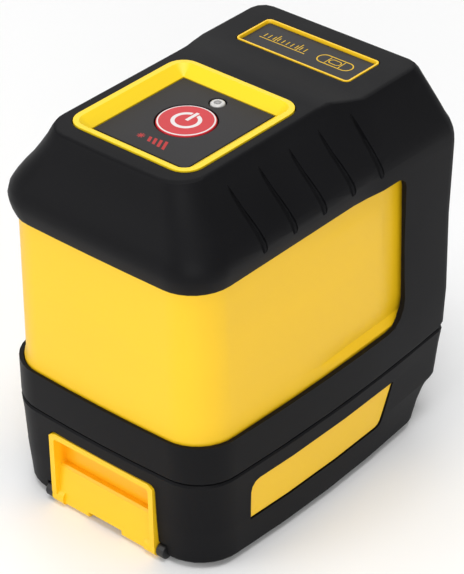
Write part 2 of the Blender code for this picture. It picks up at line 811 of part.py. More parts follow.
def body_shell():
    """Yellow shell inside the jacket, open below, with bosses for the base screws."""
    item = shell_loft("body_shell", 0.0, finish=YELLOW, border=BORDER_DEPTH)
    cut(item, shell_loft("shell_inside_cutter", -SHELL_WALL, rise=-5.0))
    reach = HALF_WIDTH + 20
    for x, y in SCREW_SPOTS:
        name = f"boss_{'left' if x < 0 else 'right'}_{'rear' if y > 0 else 'front'}"
        wall_x = math.copysign(HALF_WIDTH - SHELL_INSET - 0.5, x)
        low_x, high_x = sorted((x, wall_x))
        join(
            item,
            rod(name, (x, y, SEAM_Z + GAP / 2), (x, y, RIDGE_Z), BOSS_RADIUS, sides=12),
            box(name + "_web", (low_x, y - 1.2, SEAM_Z + 0.5), (high_x, y + 1.2, RIDGE_Z - 0.5)),
        )
        cut(item, rod(name + "_bore", (x, y, SEAM_Z - 3), (x, y, RIDGE_Z - 1.5), SCREW_RADIUS + GAP))
    glass = [size - 3.0 for size in GLASS_SIZE]
    keypad = [size + 2 * BOARD_MARGIN + 1.0 for size in OVERLAY_SIZE]
    cut(
        item,
        centred_box("keypad_opening_cutter", keypad, BEZEL_Y, SHELL_TOP_Z - 6, SHELL_TOP_Z + 3),
        box(
            "beam_opening_cutter",
            (-glass[0] / 2, FRONT_Y - 3, GLASS_Z - glass[1] / 2),
            (glass[0] / 2, FRONT_Y + 12, GLASS_Z + glass[1] / 2),
            radius=3.0,
            along=1,
        ),
        box(
            "slider_slot_cutter",
            (HALF_WIDTH - 8, SLIDER_Y - ARM_WIDTH / 2 - GAP, ARM_Z[0] - GAP),
            (reach, SLIDER_Y + ARM_WIDTH / 2 + SLIDER_TRAVEL + GAP, ARM_Z[1] + GAP),
        ),
    )
    return item


def label():
    """Recessed label: a rim with sloped inner walls round a thin plate."""
    top = FRONT_TOP_Z + LABEL_PROUD
    bottom = top - LABEL_HEIGHT
    rings = [round_ring(LABEL_SIZE, LABEL_Y, z, LABEL_RADIUS) for z in (bottom, top)]
    frame = tube_loft("label_frame", rings, YELLOW)
    corner = LABEL_RADIUS - LABEL_RIM
    inner = [size - 2 * LABEL_RIM - 2 * LABEL_SLOPE for size in LABEL_SIZE]
    floor = bottom + LABEL_THICKNESS
    cut(frame, sloped_pocket("label_pocket", inner, LABEL_SLOPE, LABEL_Y, floor, top, (corner, corner)))
    rings = [round_ring(inner, LABEL_Y, z, corner) for z in (bottom - 2, floor + 0.1)]
    cut(frame, tube_loft("label_through", rings))
    plate = [size - 2 * GAP for size in inner]
    rings = [round_ring(plate, LABEL_Y, z, corner - GAP) for z in (bottom, floor)]
    tube_loft("label_plate", rings, MEMBRANE)


def sloped_pocket(name, size, slope, y, low_z, high_z, radii):
    """A cutter that widens upward from a rectangle, its corner radius going from one to another."""
    overshoot = 0.5
    growth = slope / (high_z - low_z)
    rings = []
    for z, share in ((low_z, 0.0), (high_z, 1.0), (high_z + overshoot, 1.0)):
        extra = 2 * growth * (z - low_z)
        radius = radii[0] + (radii[1] - radii[0]) * share
        rings.append(round_ring((size[0] + extra, size[1] + extra), y, z, radius))
    return tube_loft(name, rings)


def laser_window():
    """Front glass and the gasket round it, seated on the shell's front wall."""
    inner = FRONT_Y + SHELL_INSET + 0.8 - GAP
    low = (-GLASS_SIZE[0] / 2, inner - GLASS_THICKNESS, GLASS_Z - GLASS_SIZE[1] / 2)
    high = (GLASS_SIZE[0] / 2, inner, GLASS_Z + GLASS_SIZE[1] / 2)
    box("laser_window", low, high, GLASS, radius=3.0, along=1)
    grow = GASKET_WIDTH + GAP
    gasket = box(
        "window_gasket",
        (low[0] - grow, inner - GLASS_THICKNESS - 0.3, low[2] - grow),
        (high[0] + grow, inner, high[2] + grow),
        SOFT_BLACK,
        radius=3.8,
        along=1,
    )
    cut(
        gasket,
        box(
            "gasket_inside_cutter",
            (low[0] - GAP, inner - 10, low[2] - GAP),
            (high[0] + GAP, inner + 10, high[2] + GAP),
            radius=3.2,
            along=1,
        ),
    )


# ---------------------------------------------------------------- keypad

RIM_Z = TOP_Z + BEZEL_PROUD
OVERLAY_Z = RIM_Z - OVERLAY_DEPTH
BOARD_Z = SHELL_TOP_Z - 2.3


def keypad():
    """Bezel, overlay, power button, status lamp, switch and board."""
    corner = BEZEL_RADIUS - GAP
    rings = [round_ring(BEZEL_SIZE, BEZEL_Y, z, corner) for z in (SHELL_TOP_Z + GAP, RIM_Z)]
    bezel = tube_loft("keypad_bezel", rings, YELLOW)
    hole = [size + 2 * GAP for size in OVERLAY_SIZE]
    slope = (BEZEL_SIZE[0] - hole[0]) / 2 - BEZEL_RIM
    radii = (0.3, corner - BEZEL_RIM)
    cut(bezel, sloped_pocket("bezel_pocket", hole, slope, BEZEL_Y, OVERLAY_Z, RIM_Z, radii))
    cut(bezel, centred_box("bezel_through", hole, BEZEL_Y, SHELL_TOP_Z - 3, OVERLAY_Z + 0.2))
    overlay = centred_box(
        "keypad_overlay", OVERLAY_SIZE, BEZEL_Y, OVERLAY_Z - OVERLAY_THICKNESS, OVERLAY_Z, MEMBRANE
    )
    cut(
        overlay,
        rod("button_hole", (0, BUTTON_Y, 50), (0, BUTTON_Y, 150), BUTTON_RADIUS + GAP, sides=32),
        rod("lamp_hole", (0, LED_Y, 50), (0, LED_Y, 150), LED_RADIUS + GAP, sides=16),
    )
    top = OVERLAY_Z + BUTTON_PROUD
    edge = (BUTTON_RADIUS - 0.4, 0)
    profile = [(0, 0), edge, (BUTTON_RADIUS, -0.2), (BUTTON_RADIUS, -BUTTON_HEIGHT), (0, -BUTTON_HEIGHT)]
    turned("power_button", profile, (0, BUTTON_Y, top), RED, steps=32)
    board_top = BOARD_Z + BOARD_THICKNESS
    switch_top = top - BUTTON_HEIGHT - BUTTON_TRAVEL - 0.2
    switch = ((0, BUTTON_Y, board_top + GAP), (0, BUTTON_Y, switch_top))
    rod("power_switch", *switch, SWITCH_RADIUS, STEEL, sides=12)
    foot = board_top + GAP - OVERLAY_Z
    profile = [(0, 0), (LED_RADIUS - 0.3, 0), (LED_RADIUS, -0.3), (LED_RADIUS, foot), (0, foot)]
    turned("status_lamp", profile, (0, LED_Y, OVERLAY_Z + 0.1), GREY, steps=12)
    size = [side + 2 * BOARD_MARGIN for side in OVERLAY_SIZE]
    centred_box("keypad_board", size, BEZEL_Y, BOARD_Z, board_top, BOARD_GREEN)


# ---------------------------------------------------------------- base and battery bay

SCREW_CORNERS = ((HALF_WIDTH - 4.6, REAR_Y - 25.8), (HALF_WIDTH - 6.2, FRONT_Y + 23.0))
FOOT_CORNERS = ((HALF_WIDTH - 4.8, REAR_Y - 17.3), (HALF_WIDTH - 11.0, FRONT_Y + 18.5))
SCREW_SPOTS = [(side * x, y) for side in (-1, 1) for x, y in SCREW_CORNERS]
FOOT_SPOTS = [(side * x, y) for side in (-1, 1) for x, y in FOOT_CORNERS]
SCREW_SEAT_Z = DECK_Z - 4.0
DOOR_HALF = BAY_HALF + 0.7
DOOR_FRONT_Y = HINGE_Y + 4.4
DOOR_REAR_Y = BAY_REAR_Y + 0.9
LUG_INNER_X = LATCH_HALF + GAP
LUG_OUTER_X = LUG_INNER_X + LUG_THICKNESS


def inlay_outline(grow):
    """Side inlay's outline: slanted front end, one round corner at each end."""
    top, bottom = SEAM_Z - 5.3 + grow, FLOOR_GAP + 8.7 - grow
    rear, front = REAR_Y - 17.0 + grow, FRONT_Y + 25.9 - grow
    points = [(rear, bottom)]
    points += arc((rear - 3.0, top - 3.0), 3.0, 0, 90, 3)
    points += [(front, top)]
    points += arc((front + 6.0, bottom + 2.0), 2.0, 205, 270, 2)
    return points


def base_housing():
    """Battery base: bay open below, deck above, latch recess at the rear, hinge ears inside."""
    item = base_loft("base_housing", finish=SOFT_BLACK)
    top = SEAM_Z + 5
    well = grown(band_plan(0.0, 0.6)._replace(front=FRONT_Y + 3.2), -BASE_WALL)
    rings = [flat_ring(well._replace(z=z), PLAIN_STATIONS) for z in (DECK_Z, top)]
    cut(item, half_loft("base_well_cutter", rings, len(PLAIN_STATIONS)))
    low = FLOOR_GAP - 5
    cut(
        item,
        box("bay_cutter", (-BAY_HALF, BAY_FRONT_Y, low), (BAY_HALF, BAY_REAR_Y, BAY_TOP_Z)),
        box(
            "door_seat_cutter",
            (-DOOR_HALF - GAP, DOOR_FRONT_Y - GAP, low),
            (DOOR_HALF + GAP, DOOR_REAR_Y + GAP, DOOR_TOP_Z + GAP),
        ),
        box(
            "barrel_seat_cutter",
            (-HINGE_HALF - GAP, HINGE_Y - HINGE_RADIUS - 0.8, low),
            (HINGE_HALF + GAP, DOOR_FRONT_Y, HINGE_Z + HINGE_RADIUS + 0.5),
        ),
        rod(
            "hinge_pin_bore",
            (-HINGE_HALF - 3.2, HINGE_Y, HINGE_Z),
            (HINGE_HALF + 3.2, HINGE_Y, HINGE_Z),
            PIN_RADIUS + GAP,
            sides=12,
        ),
        box(
            "latch_recess_cutter",
            (-LATCH_HALF - GAP, DOOR_REAR_Y + GAP, low),
            (LATCH_HALF + GAP, REAR_Y + 20, LATCH_TOP_Z + 0.45),
            radius=LATCH_CORNER,
            along=1,
        ),
        box(
            "lug_recess_cutter",
            (-LUG_OUTER_X - GAP, DOOR_REAR_Y - 2, low),
            (LUG_OUTER_X + GAP, REAR_Y + 20, LATCH_PIVOT_Z + LUG_RADIUS + 0.5),
        ),
        box(
            "front_pocket_cutter",
            (-BAY_HALF + 1, INSERT_Y - INSERT_RADIUS - 7, FLOOR_GAP + INSERT_LENGTH + 3.5),
            (BAY_HALF - 1, BAY_FRONT_Y - 2.4, top),
        ),
        rod(
            "insert_seat_cutter",
            (0, INSERT_Y, low),
            (0, INSERT_Y, FLOOR_GAP + INSERT_LENGTH + 2 * GAP),
            INSERT_RADIUS + GAP,
            sides=24,
        ),
    )
    for number, (x, y) in enumerate(SCREW_SPOTS, 1):
        head = rod(f"head_bore_{number}", (x, y, low), (x, y, SCREW_SEAT_Z), SCREW_HEAD_RADIUS + GAP, sides=12)
        cut(item, head, rod(f"screw_bore_{number}", (x, y, low), (x, y, top), SCREW_RADIUS + GAP, sides=12))
    for number, (x, y) in enumerate(FOOT_SPOTS, 1):
        seat_top = (x, y, FLOOR_GAP + FOOT_DEPTH + GAP)
        cut(item, rod(f"foot_seat_{number}", (x, y, low), seat_top, FOOT_RADIUS + GAP))
    for side, name in ((-1, "left"), (1, "right")):
        seat = prism(f"inlay_seat_{name}", inlay_outline(GAP), *side_span(side))
        cut(seat, base_loft(f"inlay_floor_{name}", -INLAY_DEPTH - GAP))
        cut(item, seat)
    return item


def side_span(side):
    """X range of a cutter that only reaches one side wall."""
    return sorted((side * (HALF_WIDTH - 8), side * (HALF_WIDTH + 8)))


def side_inlays():
    """Yellow inlays that follow the base's crowned side walls."""
    for side, name in ((-1, "left"), (1, "right")):
        item = prism("side_inlay_" + name, inlay_outline(0.0), *side_span(side), YELLOW)
        keep_common(item, base_loft(f"inlay_outer_{name}", -INLAY_SUNK))
        cut(item, base_loft(f"inlay_inner_{name}", -INLAY_DEPTH))


def battery_door():
    """Door plate with a hinge barrel in front and two latch lugs behind."""
    low, high = (-DOOR_HALF, DOOR_FRONT_Y, FLOOR_GAP), (DOOR_HALF, DOOR_REAR_Y, DOOR_TOP_Z)
    item = box("battery_door", low, high, HARD_BLACK)
    join(
        item,
        box("barrel_web", (-HINGE_HALF, HINGE_Y, FLOOR_GAP), (HINGE_HALF, DOOR_FRONT_Y + 1, DOOR_TOP_Z)),
        rod("hinge_barrel", (-HINGE_HALF, HINGE_Y, HINGE_Z), (HINGE_HALF, HINGE_Y, HINGE_Z), HINGE_RADIUS),
    )
    pivot = (LATCH_PIVOT_Y, LATCH_PIVOT_Z)
    for side, name in ((-1, "left"), (1, "right")):
        span = sorted((side * LUG_INNER_X, side * LUG_OUTER_X))
        root_y = DOOR_REAR_Y - 1.5
        points = arc(pivot, LUG_RADIUS, -90, 90, 6) + [(root_y, DOOR_TOP_Z), (root_y, FLOOR_GAP)]
        join(item, prism(f"lug_{name}", points, *span))
        bore = (side * (LUG_INNER_X - 2), side * (LUG_OUTER_X - 0.8))
        cut(item, rod(f"lug_bore_{name}", (bore[0], *pivot), (bore[1], *pivot), PIN_RADIUS + GAP, sides=12))
    cut(item, rod("barrel_bore", (-40, HINGE_Y, HINGE_Z), (40, HINGE_Y, HINGE_Z), PIN_RADIUS + GAP, sides=12))
    set_origin(item, 0, HINGE_Y, HINGE_Z)
    length = HINGE_HALF + 2.9
    rod("door_hinge_pin", (-length, HINGE_Y, HINGE_Z), (length, HINGE_Y, HINGE_Z), PIN_RADIUS, STEEL, sides=12)
    return item


def door_latch():
    """Yellow flip latch: finger pocket above, sloped thumb face below, legs that pivot in the lugs."""
    pivot = (LATCH_PIVOT_Y, LATCH_PIVOT_Z)
    top = LATCH_TOP_Z
    profile = arc(pivot, 1.9, -120, -10, 5)
    profile += [(LATCH_REAR_Y, LATCH_PIVOT_Z + 1.5), (LATCH_REAR_Y, top - 0.4), (LATCH_REAR_Y - 0.4, top)]
    profile += [(LATCH_INNER_Y + 1.0, top), (LATCH_INNER_Y, top - 1.0)]
    profile += [(LATCH_INNER_Y, LATCH_PIVOT_Z + 5.1), (LATCH_INNER_Y + 1.1, LATCH_PIVOT_Z + 3.6)]
    item = prism("door_latch", profile, -LATCH_HALF, LATCH_HALF, YELLOW)
    keep_common(
        item,
        box(
            "latch_corner_shape",
            (-LATCH_HALF - 1, 0, -10),
            (LATCH_HALF + 1, 90, top),
            radius=LATCH_CORNER + 1,
            along=1,
        ),
    )
    half = LATCH_HALF - LATCH_RIM
    beyond = LATCH_REAR_Y + 20
    pocket_y = LATCH_REAR_Y - LATCH_POCKET
    slope_top = (LATCH_REAR_Y - 1.9, LATCH_STEP_Z - 0.6)
    slope = [(LATCH_REAR_Y - 2.7, LATCH_STEP_Z + 0.3), slope_top, (LATCH_REAR_Y - 0.8, FLOOR_GAP + 0.6)]
    slope += [(LATCH_REAR_Y - 1.3, -5), (beyond, -5), (beyond, LATCH_STEP_Z + 0.3)]
    notch_z = FLOOR_GAP + LATCH_NOTCH[1]
    cut(
        item,
        box("finger_pocket", (-half, pocket_y, LATCH_STEP_Z), (half, beyond, top - 1.3), radius=0.8, along=1),
        prism("thumb_slope", slope, -half, half),
        box("latch_notch", (-LATCH_NOTCH[0], 0, -5), (LATCH_NOTCH[0], beyond, notch_z)),
    )
    for side, name in ((-1, "left"), (1, "right")):
        knuckle = ((side * (LATCH_HALF - KNUCKLE_WIDTH), *pivot), (side * LATCH_HALF, *pivot))
        join(item, rod(f"knuckle_{name}", *knuckle, LATCH_REAR_Y - LATCH_PIVOT_Y, sides=20))
        inner, outer = side * (LATCH_HALF - 3.4), side * (LATCH_HALF + 5)
        cut(item, rod(f"latch_bore_{name}", (inner, *pivot), (outer, *pivot), PIN_RADIUS + GAP, sides=12))
        pin = (side * (LATCH_HALF - 3.1), side * (LUG_OUTER_X - 1.1))
        rod(f"latch_pin_{name}", (pin[0], *pivot), (pin[1], *pivot), PIN_RADIUS, STEEL, sides=12)
    return set_origin(item, 0, *pivot)


FRONT_CONTACT_Y = BAY_FRONT_Y + GAP
REAR_CONTACT_Y = BAY_REAR_Y - GAP


def battery_cells():
    """Three cells side by side, each turned round against the next."""
    nub = FRONT_CONTACT_Y + CONTACT_THICKNESS + GAP
    for index in range(3):
        profile = [
            (0, CELL_NUB),
            (2.7, CELL_NUB),
            (2.7, 0),
            (CELL_RADIUS - 0.5, 0),
            (CELL_RADIUS, -0.6),
            (CELL_RADIUS, -CELL_LENGTH),
            (0, -CELL_LENGTH),
        ]
        faces_rear = index % 2 == 0
        y = REAR_CONTACT_Y - CONTACT_THICKNESS - GAP - CELL_NUB if faces_rear else nub + CELL_NUB
        tilt = -math.pi / 2 if faces_rear else math.pi / 2
        place = ((index - 1) * CELL_PITCH, y, CELL_Z)
        turned(f"battery_cell_{index + 1}", profile, place, CELL_WRAP, steps=20, turn=(tilt, 0, 0))


def spring_path(x, y, direction):
    """A short conical coil that starts inside its plate."""
    turns, steps, height = 2.0, 10, 2.2
    points = []
    for step in range(int(turns * steps) + 1):
        share = step / (turns * steps)
        angle = 2 * math.pi * turns * share
        radius = 4.2 - 1.6 * share
        spot = y + direction * (0.1 + height * share)
        points.append((x + radius * math.cos(angle), spot, CELL_Z + radius * math.sin(angle)))
    return points


def contact_plates():
    """Series contacts: a terminal and a bridge at each end, with coils for the flat cell ends."""
    rear, front = REAR_CONTACT_Y - CONTACT_THICKNESS, FRONT_CONTACT_Y
    half = 5.5
    specs = (
        ("contact_front_left", front, (-CELL_PITCH,), (-CELL_PITCH,)),
        ("contact_front_right", front, (0.0, CELL_PITCH), (CELL_PITCH,)),
        ("contact_rear_left", rear, (-CELL_PITCH, 0.0), (0.0,)),
        ("contact_rear_right", rear, (CELL_PITCH,), ()),
    )
    for name, y, cells, coils in specs:
        low = (min(cells) - half, y, CELL_Z - 5.5)
        high = (max(cells) + half, y + CONTACT_THICKNESS, CELL_Z + 5.5)
        plate = box(name, low, high, NICKEL)
        inward = 1 if y < 0 else -1
        start = y + CONTACT_THICKNESS if inward > 0 else y
        for x in coils:
            join(plate, tube_mesh(f"{name}_coil", spring_path(x, start, inward), 0.3))


def base_hardware():
    """Tripod insert, feet and screws."""
    bottom = FLOOR_GAP + GAP
    depth = INSERT_LENGTH - 1.8
    profile = [
        (0, INSERT_LENGTH),
        (INSERT_RADIUS, INSERT_LENGTH),
        (INSERT_RADIUS, 0),
        (INSERT_BORE + 0.5, 0),
        (INSERT_BORE, 0.6),
        (INSERT_BORE, depth),
        (0, depth),
    ]
    turned("tripod_insert", profile, (0, INSERT_Y, bottom), BRASS, steps=24)
    for number, (x, y) in enumerate(FOOT_SPOTS, 1):
        rod(f"foot_{number}", (x, y, 0), (x, y, FLOOR_GAP + FOOT_DEPTH), FOOT_RADIUS, HARD_BLACK)
    top = RIDGE_Z - 3.0
    for number, (x, y) in enumerate(SCREW_SPOTS, 1):
        head_z = SCREW_SEAT_Z - GAP
        profile = [(0, top), (SCREW_RADIUS, top), (SCREW_RADIUS, head_z)]
        low_z = head_z - SCREW_HEAD_HEIGHT
        profile += [(SCREW_HEAD_RADIUS, head_z), (SCREW_HEAD_RADIUS, low_z), (0, low_z)]
        turned(f"base_screw_{number}", profile, (x, y, 0), STEEL, steps=10)


# ---------------------------------------------------------------- chassis, gimbal and pendulum

CHASSIS_TOP_Z = CHASSIS_Z + CHASSIS_THICKNESS
TOWER_X = (TOWER_INNER_X, TOWER_INNER_X + TOWER_THICKNESS)
MAGNET_Z = CHASSIS_TOP_Z + GAP
DAMPER_Z = MAGNET_Z + MAGNET_HEIGHT + DAMPER_GAP
WEIGHT_Z = DAMPER_Z + DAMPER_THICKNESS + GAP
BLOCK_Z = WEIGHT_Z + WEIGHT_HEIGHT + GAP
BLOCK_TOP_Z = BLOCK_Z + BLOCK_SIZE[2]
MODULES = (("vertical_laser_module", -4.9, 15.4), ("horizontal_laser_module", 4.9, 6.6))


def chassis():
    """Cast frame: plate on four legs, with a tower each side for the outer bearings."""
    half = min(abs(x) for x, _ in SCREW_SPOTS) - BOSS_RADIUS - GAP
    ends = (FRONT_Y + 14.5, REAR_Y - 13.8)
    item = box("chassis", (-half, ends[0], CHASSIS_Z), (half, ends[1], CHASSIS_TOP_Z), ALUMINIUM)
    for side, name in ((-1, "left"), (1, "right")):
        for y, end in ((ends[0] + 3.0, "front"), (ends[1] - 3.0, "rear")):
            x = side * LEG_X
            leg = ((x - 3, y - 2.5, DECK_Z + GAP), (x + 3, y + 2.5, CHASSIS_Z + 1))
            join(item, box(f"leg_{name}_{end}", *leg))
        span = sorted((side * TOWER_X[0], side * TOWER_X[1]))
        join(item, box(f"tower_{name}", (span[0], -6, CHASSIS_Z + 1), (span[1], 6, PIVOT_Z + 4.2)))
        seat = (side * (TOWER_X[0] - 1), side * (TOWER_X[0] + SEAT_DEPTH + BEARING_WIDTH + GAP))
        hole = ((seat[0], 0, PIVOT_Z), (seat[1], 0, PIVOT_Z))
        cut(item, rod(f"bearing_seat_{name}", *hole, BEARING_RADIUS + GAP, sides=20))
    cut(item, rod("plunger_bore", (0, 0, CHASSIS_Z - 5), (0, 0, CHASSIS_TOP_Z + 5), PLUNGER_RADIUS + GAP + 0.1))
    return item


def bearing(name, start, end):
    """A plain ring between two points."""
    item = rod(name, start, end, BEARING_RADIUS, STEEL, sides=20)
    along = Vector(end) - Vector(start)
    return cut(item, rod(name + "_bore", Vector(start) - along, Vector(end) + along, BEARING_BORE, sides=16))


def gimbal():
    """Ring that tilts in the towers' bearings and carries the pendulum's bearings."""
    half = [size / 2 for size in RING_SIZE]
    low, high = (-half[0], -half[1], PIVOT_Z - half[2]), (half[0], half[1], PIVOT_Z + half[2])
    ring = box("gimbal_ring", low, high, ALUMINIUM)
    inner = (half[0] - RING_WALL, half[1] - RING_WALL)
    cut(
        ring,
        box("ring_inside_cutter", (-inner[0], -inner[1], 0), (inner[0], inner[1], 200)),
        rod("ring_axle_bore", (-60, 0, PIVOT_Z), (60, 0, PIVOT_Z), AXLE_RADIUS + GAP),
        rod("ring_bearing_bore", (0, -60, PIVOT_Z), (0, 60, PIVOT_Z), BEARING_RADIUS + GAP, sides=20),
    )
    set_origin(ring, 0, 0, PIVOT_Z)
    for side, name in ((-1, "left"), (1, "right")):
        start, end = side * (inner[0] + 0.5), side * (TOWER_X[0] + 0.5 + BEARING_WIDTH)
        rod(f"pitch_axle_{name}", (start, 0, PIVOT_Z), (end, 0, PIVOT_Z), AXLE_RADIUS, STEEL, sides=12)
        seat = side * (TOWER_X[0] + SEAT_DEPTH)
        bearing(f"pitch_bearing_{name}", (seat, 0, PIVOT_Z), (seat + side * BEARING_WIDTH, 0, PIVOT_Z))
    for side, name in ((-1, "front"), (1, "rear")):
        seat = side * (inner[1] + 0.9)
        bearing(f"roll_bearing_{name}", (0, seat, PIVOT_Z), (0, seat + side * BEARING_WIDTH, PIVOT_Z))
    reach = half[1]
    rod("roll_axle", (0, -reach, PIVOT_Z), (0, reach, PIVOT_Z), AXLE_RADIUS, STEEL, sides=12)


def pendulum():
    """Hanging laser block with its two modules, weight and copper damper."""
    x, y = BLOCK_SIZE[0] / 2, BLOCK_SIZE[1] / 2
    block = box("pendulum_body", (-x, -y, BLOCK_Z), (x, y, BLOCK_TOP_Z), ALUMINIUM)
    join(
        block,
        box("pendulum_stem", (-5, -5, BLOCK_TOP_Z - 2), (5, 5, PIVOT_Z)),
        box("pendulum_head", (-6, -7.2, PIVOT_Z - 4), (6, 7.2, PIVOT_Z + 4)),
    )
    cut(block, rod("head_bore", (0, -60, PIVOT_Z), (0, 60, PIVOT_Z), AXLE_RADIUS + GAP))
    for name, offset, height in MODULES:
        spot = BLOCK_Z + height
        start, end = -MODULE_LENGTH / 2 - 3, MODULE_LENGTH / 2 - 3
        cut(block, rod(name + "_bore", (offset, -60, spot), (offset, 60, spot), MODULE_RADIUS + GAP, sides=20))
        module = rod(name, (offset, start, spot), (offset, end, spot), MODULE_RADIUS, BRASS, sides=20)
        lens_turn = Vector((0, 0, 1)) if name.startswith("horizontal") else Vector((1, 0, 0))
        reach = lens_turn * LENS_REACH
        margin = lens_turn * GAP
        centre = Vector((offset, start + 0.6, spot))
        seat = (centre - reach - margin, centre + reach + margin)
        cut(module, rod(name + "_lens_seat", *seat, LENS_RADIUS + GAP, sides=12))
        lens = name.replace("laser_module", "line_lens")
        rod(lens, centre - reach, centre + reach, LENS_RADIUS, GLASS, sides=12)
    set_origin(block, 0, 0, PIVOT_Z)
    rod("counterweight", (0, 0, WEIGHT_Z), (0, 0, WEIGHT_Z + WEIGHT_HEIGHT), WEIGHT_RADIUS, BRASS, sides=24)
    rod("damper_plate", (0, 0, DAMPER_Z), (0, 0, DAMPER_Z + DAMPER_THICKNESS), DAMPER_RADIUS, COPPER, sides=24)
    for side, name in ((-1, "left"), (1, "right")):
        spot = side * (PAD_RADIUS + MAGNET_RADIUS + 5 * GAP)
        rod(f"magnet_{name}", (spot, 0, MAGNET_Z), (spot, 0, MAGNET_Z + MAGNET_HEIGHT), MAGNET_RADIUS, NICKEL)


def transport_lock():
    """Side slider whose ramp lifts a padded plunger under the pendulum."""
    arm = (SLIDER_Y - ARM_WIDTH / 2, SLIDER_Y + ARM_WIDTH / 2)
    outer = HALF_WIDTH + SLIDER_PROUD
    half_y, half_z = SLIDER_SIZE[0] / 2, SLIDER_SIZE[1] / 2
    low = (HALF_WIDTH - 0.3, SLIDER_Y - half_y, SLIDER_Z - half_z)
    item = box("lock_slider", low, (outer, SLIDER_Y + half_y, SLIDER_Z + half_z), RED)
    foot_z = ARM_Z[0] - 0.8
    front_y, rear_y = SLIDER_Y - 3.5, 3.0
    outline = [(rear_y, foot_z), (rear_y, RAMP_Z - RAMP_SLOPE * rear_y)]
    outline += [(front_y, RAMP_Z - RAMP_SLOPE * front_y), (front_y, foot_z)]
    join(
        item,
        box("slider_neck", (2, arm[0], ARM_Z[0]), (HALF_WIDTH, arm[1], ARM_Z[1])),
        prism("slider_ramp", outline, -4, 4),
    )
    for index in range(5):
        start = SLIDER_Y - 4.4 + 2 * index
        low, high = (outer - 0.6, start, SEAM_Z - 5), (outer + 20, start + 0.8, RIDGE_Z + 5)
        cut(item, box(f"slider_groove_{index + 1}", low, high))
    end_z = RAMP_Z + PLUNGER_RADIUS / math.cos(math.atan(RAMP_SLOPE)) + GAP
    flange_z = CHASSIS_TOP_Z + GAP
    top = flange_z + 0.4
    flange_radius = PLUNGER_RADIUS + 1.2
    profile = [(0, top), (flange_radius, top), (flange_radius, flange_z), (PLUNGER_RADIUS, flange_z)]
    profile += [(x, z) for x, z in arc((0, end_z), PLUNGER_RADIUS, 0, -72, 4)]
    profile += [(0, end_z - PLUNGER_RADIUS)]
    turned("brake_plunger", profile, (0, 0, 0), HARD_BLACK)
    rod("brake_pad", (0, 0, top + GAP), (0, 0, top + GAP + PAD_THICKNESS), PAD_RADIUS, SOFT_BLACK)


def main_board():
    """Upright circuit board behind the pendulum, with its larger components."""
    front_y = REAR_Y - SHELL_INSET - SHELL_WALL - 5.6
    rear_y = front_y + BOARD_THICKNESS
    low = (-BOARD_HALF, front_y, CHASSIS_TOP_Z + 3)
    item = box("main_board", low, (BOARD_HALF, rear_y, LIP_Z), BOARD_GREEN)
    chips = ((-9, 16, 9, 9), (8, 23, 12, 6), (6, 9, 6, 8))
    for number, (x, height, width, depth) in enumerate(chips, 1):
        z = CHASSIS_TOP_Z + height
        low = (x - width / 2, front_y - 1.8, z - depth / 2)
        join(item, box(f"chip_{number}", low, (x + width / 2, front_y + 0.6, z + depth / 2)))


body_shell()
grip_jacket()
label()
laser_window()
keypad()
base_housing()
side_inlays()
battery_door()
door_latch()
battery_cells()
contact_plates()
base_hardware()
chassis()
gimbal()
pendulum()
transport_lock()
main_board()
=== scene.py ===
"""Looks of a small self-levelling laser level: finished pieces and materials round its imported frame."""

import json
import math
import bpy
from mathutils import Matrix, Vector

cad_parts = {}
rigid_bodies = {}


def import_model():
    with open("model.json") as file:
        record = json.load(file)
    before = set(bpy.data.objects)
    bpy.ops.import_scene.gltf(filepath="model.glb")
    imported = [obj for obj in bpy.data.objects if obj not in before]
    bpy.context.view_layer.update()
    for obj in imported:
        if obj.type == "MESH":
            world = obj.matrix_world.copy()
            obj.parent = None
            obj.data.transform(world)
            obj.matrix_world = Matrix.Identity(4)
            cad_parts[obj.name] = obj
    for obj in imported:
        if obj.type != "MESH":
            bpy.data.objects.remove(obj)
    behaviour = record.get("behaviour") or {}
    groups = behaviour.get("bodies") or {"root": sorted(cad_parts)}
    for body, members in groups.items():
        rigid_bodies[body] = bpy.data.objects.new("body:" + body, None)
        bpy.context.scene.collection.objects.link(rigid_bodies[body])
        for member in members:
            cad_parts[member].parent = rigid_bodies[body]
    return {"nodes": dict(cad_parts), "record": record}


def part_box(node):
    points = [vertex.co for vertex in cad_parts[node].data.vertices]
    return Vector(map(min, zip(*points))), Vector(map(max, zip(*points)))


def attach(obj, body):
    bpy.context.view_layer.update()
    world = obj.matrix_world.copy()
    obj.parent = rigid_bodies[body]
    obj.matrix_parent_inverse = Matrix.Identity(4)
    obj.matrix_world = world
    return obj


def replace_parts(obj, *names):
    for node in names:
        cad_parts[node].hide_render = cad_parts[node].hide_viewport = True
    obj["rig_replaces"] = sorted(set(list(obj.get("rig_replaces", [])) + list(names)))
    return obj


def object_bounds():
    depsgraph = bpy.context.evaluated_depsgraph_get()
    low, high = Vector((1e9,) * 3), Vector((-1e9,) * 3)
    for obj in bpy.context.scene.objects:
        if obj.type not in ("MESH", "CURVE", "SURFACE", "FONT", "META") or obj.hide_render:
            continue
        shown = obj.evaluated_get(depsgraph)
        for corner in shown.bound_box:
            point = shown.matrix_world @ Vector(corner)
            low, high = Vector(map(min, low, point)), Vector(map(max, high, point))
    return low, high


bl_info = {
    "name": "Laser level",
    "version": (1, 0, 0),
    "blender": (4, 5, 0),
    "location": "View3D > Sidebar > Laser Level",
    "description": "Builds the finished casing, keypad, latch and inner parts of a small laser level",
    "category": "Add Mesh",
}

import bpy
from mathutils import Matrix, Vector

